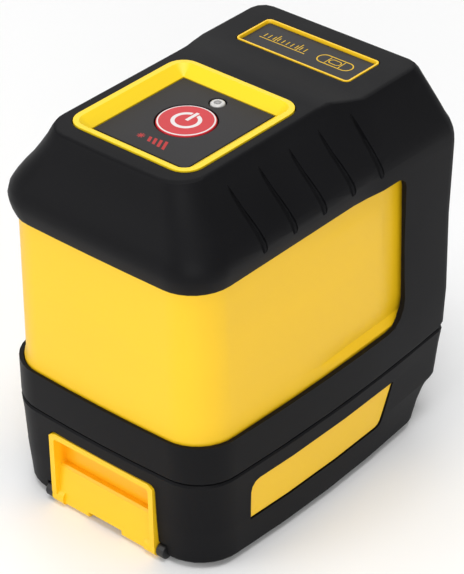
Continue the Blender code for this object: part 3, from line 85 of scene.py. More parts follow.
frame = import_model()
CAD_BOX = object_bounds()
NODES = frame["nodes"]
SLOT_OF = {part["node"]: part["material_slot"] for part in frame["record"]["subparts"]}
BODY_OF = {node: body for body, group in frame["record"]["behaviour"]["bodies"].items() for node in group}
MM = 0.001
WELD = 0.01 * MM
FLAT_ANGLE = math.radians(0.4)
EDGE_ANGLE = math.radians(30.0)
SHADE_ANGLE = math.radians(40.0)
EDGE_SEGMENTS = 2
FLAT_WEIGHT = 60


def middle(node):
    """Centre of a node's box, in metres."""
    low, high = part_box(node)
    return (low + high) / 2


KEY = middle("power_button")
LAMP = middle("status_lamp")
FACE = middle("keypad_overlay")
LABEL = middle("label_plate")


# ---------------------------------------------------------------- properties


class LaserLevelColours(bpy.types.PropertyGroup):
    """Colours of the outside."""

    rubber: bpy.props.FloatVectorProperty(
        name="Rubber", description="Grip jacket and base", subtype="COLOR", default=(0.0065, 0.0065, 0.0074)
    )
    yellow: bpy.props.FloatVectorProperty(
        name="Yellow", description="Body shell, trim and latch", subtype="COLOR", default=(0.95, 0.575, 0.007)
    )
    # Bezel colour: a lighter, more lemon copy of the body yellow, painted light for the bezel's lit top faces
    bezel: bpy.props.FloatVectorProperty(
        name="Bezel", description="Keypad bezel", subtype="COLOR", default=(0.95, 0.665, 0.010)
    )
    film: bpy.props.FloatVectorProperty(
        name="Film", description="Keypad and label film", subtype="COLOR", default=(0.017, 0.016, 0.0175)
    )
    key_red: bpy.props.FloatVectorProperty(
        name="Key red", description="Power key", subtype="COLOR", default=(0.57, 0.018, 0.028)
    )
    ink: bpy.props.FloatVectorProperty(
        name="Ink", description="White print on the key", subtype="COLOR", default=(0.74, 0.70, 0.70)
    )


class LaserLevelSizes(bpy.types.PropertyGroup):
    """Sizes of edges and print."""

    casing_edge: bpy.props.FloatProperty(
        name="Casing edge", description="Rounding of the rubber's edges", unit="LENGTH", default=0.45 * MM
    )
    trim_edge: bpy.props.FloatProperty(
        name="Trim edge", description="Rounding of small plastic parts", unit="LENGTH", default=0.22 * MM
    )
    rim_edge: bpy.props.FloatProperty(
        name="Rim edge", description="Rounding of keypad and latch rims", unit="LENGTH", default=0.4 * MM
    )
    metal_edge: bpy.props.FloatProperty(
        name="Metal edge", description="Chamfer of the metal parts", unit="LENGTH", default=0.12 * MM
    )
    ring_radius: bpy.props.FloatProperty(
        name="Symbol radius", description="Power symbol's middle line", unit="LENGTH", default=3.2 * MM
    )
    stroke: bpy.props.FloatProperty(
        name="Stroke", description="Width of printed strokes", unit="LENGTH", default=0.98 * MM
    )
    thread_radius: bpy.props.FloatProperty(
        name="Thread radius", description="Tripod thread's outer radius", unit="LENGTH", default=3.175 * MM
    )
    thread_pitch: bpy.props.FloatProperty(
        name="Thread pitch", description="Rise of the thread in a turn", unit="LENGTH", default=1.27 * MM
    )
    lens: bpy.props.FloatProperty(
        name="Lens", description="Camera's focal length in millimetres", default=160.67
    )


# ---------------------------------------------------------------- shader sums


class Value:
    """A number that varies over a surface; a sum with it adds a Math node."""

    def __init__(self, finish, socket):
        self.finish = finish
        self.socket = socket

    def __add__(self, other):
        return work("ADD", self, other)

    def __radd__(self, other):
        return work("ADD", other, self)

    def __sub__(self, other):
        return work("SUBTRACT", self, other)

    def __rsub__(self, other):
        return work("SUBTRACT", other, self)

    def __mul__(self, other):
        return work("MULTIPLY", self, other)

    def __rmul__(self, other):
        return work("MULTIPLY", other, self)

    def __abs__(self):
        return work("ABSOLUTE", self)

    def __mod__(self, other):
        return work("FLOORED_MODULO", self, other)


def work(operation, *terms):
    """Add one Math node on values and numbers."""
    finish = next(term.finish for term in terms if isinstance(term, Value))
    return Value(finish, finish.node("ShaderNodeMath", {"operation": operation}, terms).outputs[0])


def least(*terms):
    """The least of several values."""
    result = terms[0]
    for term in terms[1:]:
        result = work("MINIMUM", result, term)
    return result


def most(*terms):
    """The most of several values."""
    result = terms[0]
    for term in terms[1:]:
        result = work("MAXIMUM", result, term)
    return result


def inside(distance, soft=0.05):
    """1 where a distance is below nought, 0 above it, with a soft edge."""
    step = distance.finish.node(
        "ShaderNodeMapRange",
        {"interpolation_type": "SMOOTHSTEP"},
        {"Value": distance, "From Min": -soft, "From Max": soft, "To Min": 1.0, "To Max": 0.0},
    )
    return Value(distance.finish, step.outputs["Result"])


def bar(x, y, half_x, half_y):
    """Distance to an upright rectangle round nought: negative inside."""
    return most(abs(x) - half_x, abs(y) - half_y)


def disc(x, y):
    """Distance from nought in a plane."""
    return work("SQRT", x * x + y * y)


class Finish:
    """One material, built up node by node."""

    def __init__(self, name, colour, roughness, metallic=0.0, sockets=None):
        self.material = bpy.data.materials.new(name)
        self.material.use_nodes = True
        self.tree = self.material.node_tree
        self.shader = self.tree.nodes["Principled BSDF"]
        self.set("Base Color", (*colour, 1.0))
        self.set("Roughness", roughness)
        self.set("Metallic", metallic)
        for socket, value in (sockets or {}).items():
            self.set(socket, value)
        self.height = None

    def set(self, socket, value):
        """Set or link one of the shader's sockets."""
        if isinstance(value, Value):
            self.tree.links.new(value.socket, self.shader.inputs[socket])
        else:
            self.shader.inputs[socket].default_value = value

    def node(self, kind, settings=None, inputs=()):
        """Add any node: its settings first, then its sockets' values or links."""
        item = self.tree.nodes.new(kind)
        for name, value in (settings or {}).items():
            setattr(item, name, value)
        pairs = inputs.items() if isinstance(inputs, dict) else enumerate(inputs)
        for key, value in pairs:
            if isinstance(value, Value):
                self.tree.links.new(value.socket, item.inputs[key])
            else:
                item.inputs[key].default_value = value
        return item

    def place(self, centre=(0.0, 0.0, 0.0), turn=0.0):
        """X, Y and Z in millimetres from a point, turned about Z."""
        source = self.node("ShaderNodeTexCoord").outputs["Object"]
        spot = Matrix.Rotation(turn, 3, "Z") @ (Vector(centre) / MM)
        move = {"Location": -spot, "Rotation": (0.0, 0.0, turn), "Scale": (1 / MM,) * 3}
        mapped = self.node("ShaderNodeMapping", None, {"Vector": Value(self, source), **move})
        split = self.node("ShaderNodeSeparateXYZ", None, [Value(self, mapped.outputs["Vector"])])
        return [Value(self, output) for output in split.outputs]

    def noise(self, size, detail=2.0, roughness=0.5, stretch=(1.0, 1.0, 1.0)):
        """Noise from 0 to 1 whose blotches are about a size across, in metres."""
        source = Value(self, self.node("ShaderNodeTexCoord").outputs["Object"])
        mapped = self.node("ShaderNodeMapping", None, {"Vector": source, "Scale": stretch})
        texture = self.node(
            "ShaderNodeTexNoise",
            None,
            {
                "Vector": Value(self, mapped.outputs["Vector"]),
                "Scale": 1 / size,
                "Detail": detail,
                "Roughness": roughness,
            },
        )
        return Value(self, texture.outputs[0])

    def cells(self, size):
        """Distance to the nearest grain of a size, 0 in its middle."""
        source = Value(self, self.node("ShaderNodeTexCoord").outputs["Object"])
        texture = self.node("ShaderNodeTexVoronoi", None, {"Vector": source, "Scale": 1 / size})
        return Value(self, texture.outputs["Distance"])

    def mix(self, factor, first, second):
        """Mix two colours."""
        inputs = {0: factor}
        for index, colour in ((6, first), (7, second)):
            inputs[index] = colour if isinstance(colour, Value) else (*colour[:3], 1.0)
        mixed = self.node("ShaderNodeMix", {"data_type": "RGBA"}, inputs)
        return Value(self, mixed.outputs[2])

    def shade(self, colour, amount, factor):
        """A colour made lighter and darker by a share, as a factor goes from 0 to 1."""
        dark = [part * (1 - amount) for part in colour]
        light = [min(part * (1 + amount), 1.0) for part in colour]
        return self.mix(factor, dark, light)

    def bump(self, height, distance, strength=1.0):
        """Add relief of a height from 0 to 1 and a depth in metres."""
        inputs = {"Height": height, "Distance": distance, "Strength": strength}
        if self.height:
            inputs["Normal"] = self.height
        self.height = Value(self, self.node("ShaderNodeBump", None, inputs).outputs["Normal"])
        self.set("Normal", self.height)


# ---------------------------------------------------------------- materials


def rubber(name, colour, roughness=0.48):
    """Soft-touch moulded rubber: a fine matt grain with faint handling marks."""
    finish = Finish(name, colour, roughness, sockets={"Specular IOR Level": 0.085})
    patches = finish.noise(22 * MM, 3.0)
    finish.set("Base Color", finish.shade(colour, 0.16, patches))
    grain = finish.noise(0.30 * MM, 2.0)
    finish.set("Roughness", roughness - 0.06 + 0.12 * patches + 0.06 * (grain - 0.5))
    finish.bump(grain, 0.030 * MM, 0.55)
    finish.bump(finish.cells(0.55 * MM), 0.012 * MM, 0.5)
    return finish.material


def moulded(name, colour, roughness=0.40, grain_size=0.42 * MM, depth=0.010 * MM):
    """Satin moulded plastic: slight flow marks and a fine eroded texture."""
    finish = Finish(name, colour, roughness, sockets={"Specular IOR Level": 0.45})
    flow = finish.noise(30 * MM, 2.0, stretch=(1.0, 0.5, 1.6))
    finish.set("Base Color", finish.shade(colour, 0.035, flow))
    grain = finish.noise(grain_size, 2.0)
    finish.set("Roughness", roughness - 0.05 + 0.08 * flow + 0.06 * grain)
    finish.bump(grain, depth, 0.6)
    return finish.material


def latch_plastic_painted_pocket_shade(name, colour):
    """Latch moulding: satin plastic, with painted shade that turns its colour a deeper orange down in its
    finger pocket.
    """
    finish = Finish(name, colour, 0.40, sockets={"Specular IOR Level": 0.45})
    pocket_start, blend = 2.6, 1.3
    y = finish.place(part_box("door_latch")[1])[1]
    # painted shade: the colour deepens to orange in the finger pocket, where shade falls in the recess
    pocket_shade_mask = inside(y + pocket_start, blend)
    flow = finish.noise(12 * MM, 2.0)
    # deeper orange painted into the pocket as shade
    painted_pocket_shade = (colour[0], colour[1] * 0.78, 0.0)
    finish.set("Base Color", finish.mix(pocket_shade_mask, finish.shade(colour, 0.035, flow), painted_pocket_shade))
    grain = finish.noise(0.42 * MM, 2.0)
    finish.set("Roughness", 0.36 + 0.08 * flow + 0.05 * grain)
    finish.bump(grain, 0.010 * MM, 0.6)
    return finish.material


def metal(name, colour, roughness, stretch=(1.0, 1.0, 1.0), depth=0.006 * MM):
    """Machined or cast metal: tool marks along one way and uneven polish."""
    finish = Finish(name, colour, roughness, 1.0)
    marks = finish.noise(0.8 * MM, 3.0, 0.6, stretch)
    cloud = finish.noise(6 * MM, 2.0)
    finish.set("Base Color", finish.shade(colour, 0.08, cloud))
    finish.set("Roughness", roughness - 0.06 + 0.10 * marks + 0.06 * cloud)
    finish.bump(marks, depth, 0.5)
    return finish.material


def glass(name, tint):
    """Polished, lightly tinted window plate."""
    finish = Finish(name, tint, 0.03, sockets={"IOR": 1.49, "Transmission Weight": 1.0})
    smear = finish.noise(9 * MM, 3.0, stretch=(1.0, 1.0, 0.4))
    finish.set("Roughness", 0.02 + 0.05 * smear)
    return finish.material


def circuit(name):
    """Solder mask with straight copper tracks and round pads under it."""
    mask_green = (0.012, 0.115, 0.045)
    track_green = (0.030, 0.210, 0.085)
    tin = (0.62, 0.60, 0.56)
    thin_half, wide_half, pad_radius, bare_share = 0.22, 0.30, 0.42, 0.52
    finish = Finish(name, mask_green, 0.38)
    x, _, z = finish.place()
    cell = 2.54
    along = abs((x + z) % cell - cell / 2)
    across = abs((x - z) % (2 * cell) - cell)
    track = inside(least(along - thin_half, across - wide_half), 0.04)
    pad_x, pad_z = (x % cell) - cell / 2, (z % cell) - cell / 2
    pad = inside(disc(pad_x, pad_z) - pad_radius)
    patch = inside(bare_share - finish.noise(5 * MM, 0.0), 0.02)
    base = finish.mix(track, mask_green, track_green)
    finish.set("Base Color", finish.mix(pad * patch, base, tin))
    finish.set("Roughness", 0.40 - 0.12 * pad * patch)
    finish.bump(track, 0.03 * MM, 0.4)
    return finish.material


def key_print(colours, sizes):
    """Power key: red, with a white rim and the usual sign, a broken ring with a bar."""
    finish = Finish("power_key_red", colours.key_red, 0.30, sockets={"Specular IOR Level": 0.3})
    rim_inset, rim_half = 0.50, 0.19
    gap_half, gap_share, stem_half, stem_share = 1.75, 0.70, 0.95, 0.66
    x, y = finish.place(KEY)[:2]
    low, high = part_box("power_button")
    edge = (high.x - low.x) / 2 / MM
    radius, half = sizes.ring_radius / MM, sizes.stroke / MM / 2
    out = disc(x, y)
    rim = inside(abs(out - (edge - rim_inset)) - rim_half)
    gap = inside(bar(x, y + radius, half * gap_half, radius * gap_share))
    ring = inside(abs(out - radius) - half) * (1 - gap)
    stem = inside(bar(x, y + radius * stem_share, half * stem_half, radius * stem_share))
    sign = most(ring, stem, rim)
    grain = finish.noise(0.5 * MM, 2.0)
    red = finish.shade(colours.key_red, 0.06, finish.noise(4 * MM))
    finish.set("Base Color", finish.mix(sign, red, colours.ink))
    finish.set("Roughness", 0.28 + 0.08 * grain + 0.06 * sign)
    finish.bump(sign, 0.04 * MM, 0.5)
    finish.bump(grain, 0.006 * MM, 0.5)
    return finish.material


def lamp_lens(name):
    """Status lamp: a pale frosted ring round a darker centre."""
    pale, shadow, chip = (0.56, 0.55, 0.54), (0.17, 0.165, 0.165), (0.30, 0.29, 0.29)
    centre_radius, core_radius = 0.95, 0.40
    finish = Finish(name, pale, 0.25, sockets={"Coat Weight": 0.4, "Coat Roughness": 0.1})
    x, y = finish.place(LAMP)[:2]
    out = disc(x, y)
    centre = inside(out - centre_radius, 0.12)
    core = inside(out - core_radius, 0.15)
    frost = finish.noise(0.4 * MM, 2.0)
    ring = finish.shade(pale, 0.08, frost)
    finish.set("Base Color", finish.mix(core, finish.mix(centre, ring, shadow), chip))
    finish.set("Roughness", 0.22 + 0.12 * frost)
    return finish.material


def keypad_print(colours):
    """Keypad film: satin dark grey, with a small red beam sign and four slanted bars."""
    finish = Finish("keypad_film", colours.film, 0.42, sockets={"Specular IOR Level": 0.18})
    print_red = (0.50, 0.030, 0.030)
    print_line = FACE.y + 10.9 * MM
    star_x, ray_length, ray_half = 3.6, 1.0, 0.13
    first_bar, bar_pitch, bar_half, bar_rise, bar_growth, slant = -0.9, 1.55, 0.42, 0.95, 0.22, 0.45
    x, y = finish.place((0.0, print_line, 0.0))[:2]
    signs = []
    for spin in range(4):
        turn = spin * math.pi / 4
        u = (x - star_x) * math.cos(turn) + y * math.sin(turn)
        v = y * math.cos(turn) - (x - star_x) * math.sin(turn)
        signs.append(bar(u, v, ray_length, ray_half))
    lean = x + slant * y
    for index in range(4):
        place = first_bar + bar_pitch * index
        signs.append(bar(lean + place, y, bar_half, bar_rise + bar_growth * index))
    mark = inside(least(*signs), 0.06)
    weave = finish.noise(0.35 * MM, 2.0)
    base = finish.shade(colours.film, 0.10, finish.noise(12 * MM))
    finish.set("Base Color", finish.mix(mark * 0.9, base, print_red))
    finish.set("Roughness", 0.38 + 0.10 * weave)
    finish.bump(weave, 0.008 * MM, 0.5)
    return finish.material


def label_print(colours):
    """Label film: a level vial and a row of graduations, without words."""
    finish = Finish("label_film", colours.film, 0.36, sockets={"Specular IOR Level": 0.18})
    vial_share, ruler_share = 0.52, 0.42
    vial_half, vial_radius, vial_line = 3.2, 1.9, 0.16
    bubble_half, bubble_radius, fine_line = 0.7, 0.95, 0.13
    mark_x, mark_half, mark_reach = 2.1, 0.12, 1.6
    ruler_half, tick_pitch, long_pitch, base_line = 7.1, 1.4, 7.0, 1.35
    low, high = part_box("label_plate")
    half_x = (high.x - low.x) / 2 / MM
    x, y = finish.place(LABEL)[:2]
    vial_x = x + half_x * vial_share
    capsule = disc(most(abs(vial_x) - vial_half, 0.0), y) - vial_radius
    vial = abs(capsule) - vial_line
    bubble = abs(disc(most(abs(vial_x) - bubble_half, 0.0), y) - bubble_radius) - fine_line
    marks = most(abs(abs(vial_x) - mark_x) - mark_half, abs(y) - mark_reach)
    ruler_x = x - half_x * ruler_share
    past_end = abs(ruler_x) - ruler_half
    ticks = abs(abs(ruler_x) % tick_pitch - tick_pitch / 2) - fine_line
    long_ticks = abs(abs(ruler_x + tick_pitch / 2) % long_pitch - long_pitch / 2) - fine_line
    short_row = most(ticks, past_end, abs(y + 0.2) - 0.85)
    long_row = most(long_ticks, past_end, abs(y + 0.5) - mark_reach)
    line = most(abs(y - base_line) - fine_line, past_end)
    print_on = inside(least(vial, bubble, marks, short_row, line, long_row))
    base = finish.shade(colours.film, 0.10, finish.noise(8 * MM))
    ink = [part * 0.85 for part in colours.yellow]
    finish.set("Base Color", finish.mix(print_on * 0.92, base, ink))
    grain = finish.noise(0.35 * MM, 2.0)
    finish.set("Roughness", 0.34 + 0.08 * grain)
    finish.bump(print_on, 0.02 * MM, 0.4)
    return finish.material


def cell_sleeve(name):
    """Battery sleeve: blue shrink film with plain silver bands near the ends."""
    blue, silver = (0.025, 0.085, 0.26), (0.60, 0.61, 0.62)
    finish = Finish(name, blue, 0.30, sockets={"Coat Weight": 0.5, "Coat Roughness": 0.15})
    band_middle, band_reach, band_half = 14.0, 16.0, 2.2
    y = finish.place()[1]
    band = inside(abs(abs(y - band_middle) - band_reach) - band_half)
    crinkle = finish.noise(3 * MM, 3.0, stretch=(1.0, 0.3, 1.0))
    finish.set("Base Color", finish.mix(band, finish.shade(blue, 0.12, crinkle), silver))
    finish.set("Roughness", 0.26 + 0.10 * crinkle)
    finish.bump(crinkle, 0.05 * MM, 0.3)
    return finish.material


def make_materials(context):
    """Every finish, by the record's slot or by the node that has its own."""
    colours = context.scene.laser_level_colours
    sizes = context.scene.laser_level_sizes
    return {
        "rubber_black": rubber("soft_touch_rubber", colours.rubber),
        "hard_black": moulded("hard_black_plastic", (0.012, 0.012, 0.013), 0.42),
        "yellow_plastic": moulded("yellow_plastic", colours.yellow),
        # the bezel's lighter yellow is painted light on the same yellow plastic
        "keypad_bezel": moulded("bezel_plastic_painted_light", colours.bezel),
        "door_latch": latch_plastic_painted_pocket_shade("latch_plastic_painted_pocket_shade", colours.yellow),
        "membrane": keypad_print(colours),
        "label_plate": label_print(colours),
        "red_key": moulded("red_plastic", colours.key_red, 0.34),
        "power_button": key_print(colours, sizes),
        "lamp_grey": lamp_lens("lamp_lens"),
        "window_glass": glass("window_plate", (0.55, 0.62, 0.64)),
        "steel": metal("ground_steel", (0.56, 0.56, 0.57), 0.28, (0.2, 1.0, 1.0)),
        "brass": metal("turned_brass", (0.80, 0.57, 0.22), 0.27, (1.0, 1.0, 0.2)),
        "copper": metal("bare_copper", (0.78, 0.36, 0.20), 0.32),
        "nickel": metal("nickel_plate", (0.66, 0.63, 0.58), 0.22),
        "aluminium": metal("cast_aluminium", (0.70, 0.71, 0.72), 0.42, depth=0.02 * MM),
        "circuit_board": circuit("circuit_board"),
        "cell_wrap": cell_sleeve("cell_sleeve"),
    }


MATERIALS = {}


def finish_for(node):
    """The material of a node, by its own name or by its slot."""
    return MATERIALS.get(node) or MATERIALS[SLOT_OF[node]]


# ---------------------------------------------------------------- mesh helpers


def select_only(piece):
    """Deselect everything else and make a piece active."""
    if bpy.context.object and bpy.context.object.mode != "OBJECT":
        bpy.ops.object.mode_set(mode="OBJECT")
    for other in bpy.context.view_layer.objects:
        other.select_set(False)
    piece.select_set(True)
    bpy.context.view_layer.objects.active = piece


def apply_modifier(piece, kind, **settings):
    """Add a modifier, set it and apply it."""
    change = piece.modifiers.new(kind.lower(), kind)
    for name, value in settings.items():
        setattr(change, name, value)
    select_only(piece)
    bpy.ops.object.modifier_apply(modifier=change.name)


def stand_in(piece, node):
    """Let a piece take a node's place, body, slot and material."""
    piece.data.materials.clear()
    piece.data.materials.append(finish_for(node))
    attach(piece, BODY_OF[node])
    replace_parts(piece, node)
    return piece


def merged_copy(node):
    """A copy of a node's mesh with its triangles joined and flat ones merged."""
    mesh = NODES[node].data.copy()
    piece = bpy.data.objects.new(node + "_finished", mesh)
    bpy.context.scene.collection.objects.link(piece)
    select_only(piece)
    bpy.ops.mesh.customdata_custom_splitnormals_clear()
    bpy.ops.object.mode_set(mode="EDIT")
    bpy.ops.mesh.select_all(action="SELECT")
    bpy.ops.mesh.remove_doubles(threshold=WELD)
    bpy.ops.mesh.dissolve_limited(angle_limit=FLAT_ANGLE)
    bpy.ops.object.mode_set(mode="OBJECT")
    return piece


def smoothed(piece, node, width):
    """Round a piece's sharp edges, shade it and let it take a node's place."""
    apply_modifier(
        piece,
        "BEVEL",
        width=width,
        segments=EDGE_SEGMENTS,
        limit_method="ANGLE",
        angle_limit=EDGE_ANGLE,
        use_clamp_overlap=True,
        loop_slide=False,
        harden_normals=False,
    )
    select_only(piece)
    bpy.ops.object.shade_smooth_by_angle(angle=SHADE_ANGLE)
    apply_modifier(piece, "WEIGHTED_NORMAL", keep_sharp=True, weight=FLAT_WEIGHT)
    return stand_in(piece, node)


def softened(node, width):
    """A merged copy of a node with its sharp edges rounded."""
    return smoothed(merged_copy(node), node, width)


def carve_box(piece, centre, size):
    """Cut a box out of a piece."""
    bpy.ops.mesh.primitive_cube_add(size=1.0, location=centre, scale=size)
    cutter = bpy.context.object
    apply_modifier(piece, "BOOLEAN", operation="DIFFERENCE", solver="EXACT", object=cutter)
    bpy.data.objects.remove(cutter, do_unlink=True)


THREAD_RIDGE = 0.45
THREAD_SETBACK = 0.02
THREAD_STEPS = 28


def screw_thread(name, foot, bore, pitch, turns):
    """A thread's ridge up a bore from a foot point, standing inwards."""
    bpy.ops.object.select_all(action="DESELECT")
    turned = (math.pi / 2, -math.pi / 2, 0.0)
    bpy.ops.mesh.primitive_circle_add(vertices=3, radius=THREAD_RIDGE * pitch, rotation=turned)
    piece = bpy.context.object
    piece.name = name
    bpy.ops.object.transform_apply(location=False, rotation=True, scale=False)
    bpy.ops.object.mode_set(mode="EDIT")
    bpy.ops.mesh.select_all(action="SELECT")
    bpy.ops.transform.translate(value=(bore - THREAD_SETBACK * pitch, 0.0, 0.0))
    bpy.ops.object.mode_set(mode="OBJECT")
    apply_modifier(
        piece,
        "SCREW",
        axis="Z",
        angle=2 * math.pi,
        screw_offset=pitch,
        iterations=turns,
        steps=THREAD_STEPS,
        render_steps=THREAD_STEPS,
    )
    bpy.ops.object.mode_set(mode="EDIT")
    bpy.ops.mesh.select_all(action="SELECT")
    bpy.ops.mesh.remove_doubles(threshold=WELD)
    bpy.ops.mesh.fill_holes(sides=3)
    bpy.ops.mesh.select_all(action="SELECT")
    bpy.ops.mesh.normals_make_consistent(inside=False)
    bpy.ops.transform.translate(value=foot)
    bpy.ops.object.mode_set(mode="OBJECT")
    bpy.ops.object.shade_smooth_by_angle(angle=SHADE_ANGLE)
    return piece


# ---------------------------------------------------------------- operators


class LASER_OT_materials(bpy.types.Operator):
    """Make the materials and give each frame node its own"""

    bl_idname = "laser.materials"
    bl_label = "Materials"

    def execute(self, context):
        MATERIALS.update(make_materials(context))
        for node, item in NODES.items():
            item.data.materials.clear()
            item.data.materials.append(finish_for(node))
        return {"FINISHED"}


class LASER_OT_casing(bpy.types.Operator):
    """Make the rubber jacket, the yellow shell and the battery base"""

    bl_idname = "laser.casing"
    bl_label = "Casing"

    def execute(self, context):
        sizes = context.scene.laser_level_sizes
        for node in ("grip_jacket", "base_housing"):
            softened(node, sizes.casing_edge)
        for node in ("body_shell", "side_inlay_left", "side_inlay_right"):
            softened(node, sizes.trim_edge)
        return {"FINISHED"}


class LASER_OT_keypad(bpy.types.Operator):
    """Make the keypad's bezel, film, power key and lamp"""

    bl_idname = "laser.keypad"
    bl_label = "Keypad"

    def execute(self, context):
        sizes = context.scene.laser_level_sizes
        softened("keypad_bezel", sizes.rim_edge)
        for node in ("keypad_overlay", "power_button", "status_lamp"):
            softened(node, sizes.trim_edge)
        return {"FINISHED"}


class LASER_OT_label(bpy.types.Operator):
    """Make the label's rim and printed plate"""

    bl_idname = "laser.label"
    bl_label = "Label"

    def execute(self, context):
        sizes = context.scene.laser_level_sizes
        for node in ("label_frame", "label_plate"):
            softened(node, sizes.trim_edge / 2)
        return {"FINISHED"}


class LASER_OT_door(bpy.types.Operator):
    """Make the battery door and its flip latch"""

    bl_idname = "laser.door"
    bl_label = "Battery door and latch"

    def execute(self, context):
        sizes = context.scene.laser_level_sizes
        softened("battery_door", sizes.trim_edge)
        softened("door_latch", sizes.rim_edge)
        return {"FINISHED"}


class LASER_OT_window(bpy.types.Operator):
    """Make the laser window, its gasket and the transport lock's slider"""

    bl_idname = "laser.window"
    bl_label = "Window and lock"

    def execute(self, context):
        sizes = context.scene.laser_level_sizes
        for node in ("laser_window", "window_gasket", "lock_slider"):
            softened(node, sizes.trim_edge)
        return {"FINISHED"}


RECESS_LENGTH = 0.62
RECESS_WIDTH = 0.16
RECESS_DEPTH = 2.2 * MM
THREAD_START = 0.6
THREAD_TURNS = 6


class LASER_OT_screws(bpy.types.Operator):
    """Make the base screws with a cross recess and the tripod insert with its thread"""

    bl_idname = "laser.screws"
    bl_label = "Screws and tripod thread"

    def execute(self, context):
        sizes = context.scene.laser_level_sizes
        for node in sorted(name for name in NODES if name.startswith("base_screw")):
            low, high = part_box(node)
            piece = merged_copy(node)
            centre = ((low.x + high.x) / 2, (low.y + high.y) / 2, low.z)
            head = high.x - low.x
            length, width = head * RECESS_LENGTH, head * RECESS_WIDTH
            carve_box(piece, centre, (length, width, RECESS_DEPTH))
            carve_box(piece, centre, (width, length, RECESS_DEPTH))
            smoothed(piece, node, sizes.metal_edge)
        softened("tripod_insert", sizes.metal_edge)
        low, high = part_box("tripod_insert")
        start = low.z + sizes.thread_pitch * THREAD_START
        foot = Vector(((low.x + high.x) / 2, (low.y + high.y) / 2, start))
        thread = screw_thread("tripod_thread", foot, sizes.thread_radius, sizes.thread_pitch, THREAD_TURNS)
        thread.data.materials.append(finish_for("tripod_insert"))
        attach(thread, BODY_OF["tripod_insert"])
        return {"FINISHED"}


class LASER_OT_fittings(bpy.types.Operator):
    """Make the feet and the inner parts"""

    bl_idname = "laser.fittings"
    bl_label = "Fittings and inner parts"

    def execute(self, context):
        sizes = context.scene.laser_level_sizes
        done = {piece for item in bpy.data.objects for piece in item.get("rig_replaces", [])}
        for node in sorted(set(NODES) - done):
            softened(node, sizes.metal_edge)
        return {"FINISHED"}


class LASER_OT_stage(bpy.types.Operator):
    """Make the floor, lights, world and camera"""

    bl_idname = "laser.stage"
    bl_label = "Stage"

    def execute(self, context):
        make_floor()
        make_world(context)
        make_lights()
        make_camera(context)
        return {"FINISHED"}


FLOOR_SIZE = 12.0
FLOOR_WHITE = (0.94, 0.94, 0.94)
ROOM_STRENGTH = 0.3


def make_floor():
    """A wide pale floor under the feet."""
    bpy.ops.mesh.primitive_plane_add(size=FLOOR_SIZE, location=(0.0, 0.0, CAD_BOX[0][2]))
    floor = bpy.context.object
    floor.name = "floor"
    finish = Finish("pale_floor", FLOOR_WHITE, 0.65)
    cloud = finish.noise(0.4, 2.0)
    finish.set("Base Color", finish.shade(FLOOR_WHITE, 0.012, cloud))
    floor.data.materials.append(finish.material)


def make_world(context):
    """Even pale surroundings."""
    world = bpy.data.worlds.new("pale_room")
    world.use_nodes = True
    ground = world.node_tree.nodes["Background"]
    ground.inputs["Color"].default_value = (1.0, 1.0, 1.0, 1.0)
    ground.inputs["Strength"].default_value = ROOM_STRENGTH
    context.scene.world = world
    context.scene.view_settings.view_transform = "Standard"


# Each light: name, place in metres, size in metres, power in watts
LIGHTS = (
    ("key_light", (0.62, 0.97, 0.60), 0.8, 4.4),
    ("top_light", (-0.10, 0.10, 1.30), 0.9, 10.0),
    ("side_light", (-0.85, 0.95, 0.50), 0.9, 7.0),
    ("sheen_light", (0.72, -0.81, 0.73), 1.0, 2.7),
)


def make_lights():
    """Large soft lamps that all face the object."""
    target = (Vector(CAD_BOX[0]) + Vector(CAD_BOX[1])) / 2
    for name, place, size, power in LIGHTS:
        lamp = bpy.data.lights.new(name, "AREA")
        lamp.shape = "DISK"
        lamp.size = size
        lamp.energy = power
        item = bpy.data.objects.new(name, lamp)
        item.location = place
        item.rotation_euler = (target - Vector(place)).to_track_quat("-Z", "Y").to_euler()
        bpy.context.scene.collection.objects.link(item)


CAMERA_PLACE = (-0.3480, 0.3933, 0.3974)
CAMERA_AZIMUTH = 221.458
CAMERA_HEIGHT = 33.716
CAMERA_ROLL = -0.827
SENSOR_WIDTH = 36.0


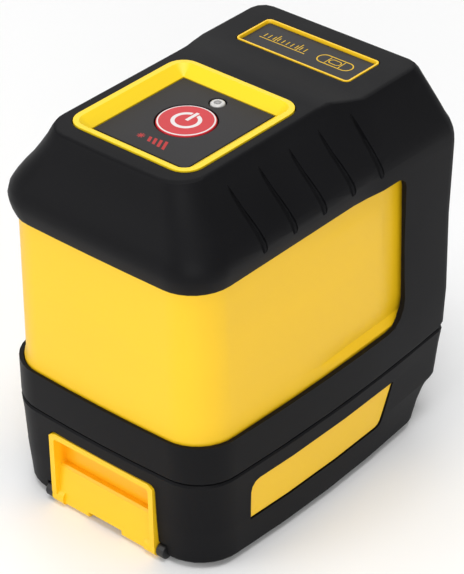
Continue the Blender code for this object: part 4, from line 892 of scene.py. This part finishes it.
def make_camera(context):
    """The camera, from its azimuth, elevation and roll in degrees."""
    turn, lift, roll = (math.radians(a) for a in (CAMERA_AZIMUTH, CAMERA_HEIGHT, CAMERA_ROLL))
    flat = math.cos(lift)
    back = Vector((math.sin(turn) * flat, -math.cos(turn) * flat, math.sin(lift)))
    right = Vector((math.cos(turn), math.sin(turn), 0.0))
    up = back.cross(right)
    side = math.cos(roll) * right + math.sin(roll) * up
    top = math.cos(roll) * up - math.sin(roll) * right
    lens = bpy.data.cameras.new("camera")
    lens.lens = context.scene.laser_level_sizes.lens
    lens.sensor_width = SENSOR_WIDTH
    lens.clip_start = 0.01
    item = bpy.data.objects.new("camera", lens)
    facing = Matrix((side, top, back)).transposed().to_4x4()
    item.matrix_world = Matrix.Translation(CAMERA_PLACE) @ facing
    context.scene.collection.objects.link(item)
    context.scene.camera = item


# ---------------------------------------------------------------- panel and main


class LASER_PT_panel(bpy.types.Panel):
    """Lists the laser level's operators, colours and sizes"""

    bl_label = "Laser Level"
    bl_idname = "LASER_PT_panel"
    bl_space_type = "VIEW_3D"
    bl_region_type = "UI"
    bl_category = "Laser Level"

    def draw(self, context):
        for operator in OPERATORS:
            self.layout.operator(operator.bl_idname)
        for group in (context.scene.laser_level_colours, context.scene.laser_level_sizes):
            for name in group.__annotations__:
                self.layout.prop(group, name)


OPERATORS = (
    LASER_OT_stage,
    LASER_OT_materials,
    LASER_OT_casing,
    LASER_OT_keypad,
    LASER_OT_label,
    LASER_OT_door,
    LASER_OT_window,
    LASER_OT_screws,
    LASER_OT_fittings,
)
CLASSES = (LaserLevelColours, LaserLevelSizes, *OPERATORS, LASER_PT_panel)


def register():
    """Register the classes and hang the properties on the scene."""
    for item in CLASSES:
        bpy.utils.register_class(item)
    bpy.types.Scene.laser_level_colours = bpy.props.PointerProperty(type=LaserLevelColours)
    bpy.types.Scene.laser_level_sizes = bpy.props.PointerProperty(type=LaserLevelSizes)


def unregister():
    """Undo what register did."""
    del bpy.types.Scene.laser_level_sizes
    del bpy.types.Scene.laser_level_colours
    for item in reversed(CLASSES):
        bpy.utils.unregister_class(item)


def main():
    """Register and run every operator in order."""
    register()
    bpy.ops.laser.stage()
    bpy.ops.laser.materials()
    bpy.ops.laser.casing()
    bpy.ops.laser.keypad()
    bpy.ops.laser.label()
    bpy.ops.laser.door()
    bpy.ops.laser.window()
    bpy.ops.laser.screws()
    bpy.ops.laser.fittings()


if __name__ == "__main__":
    main()
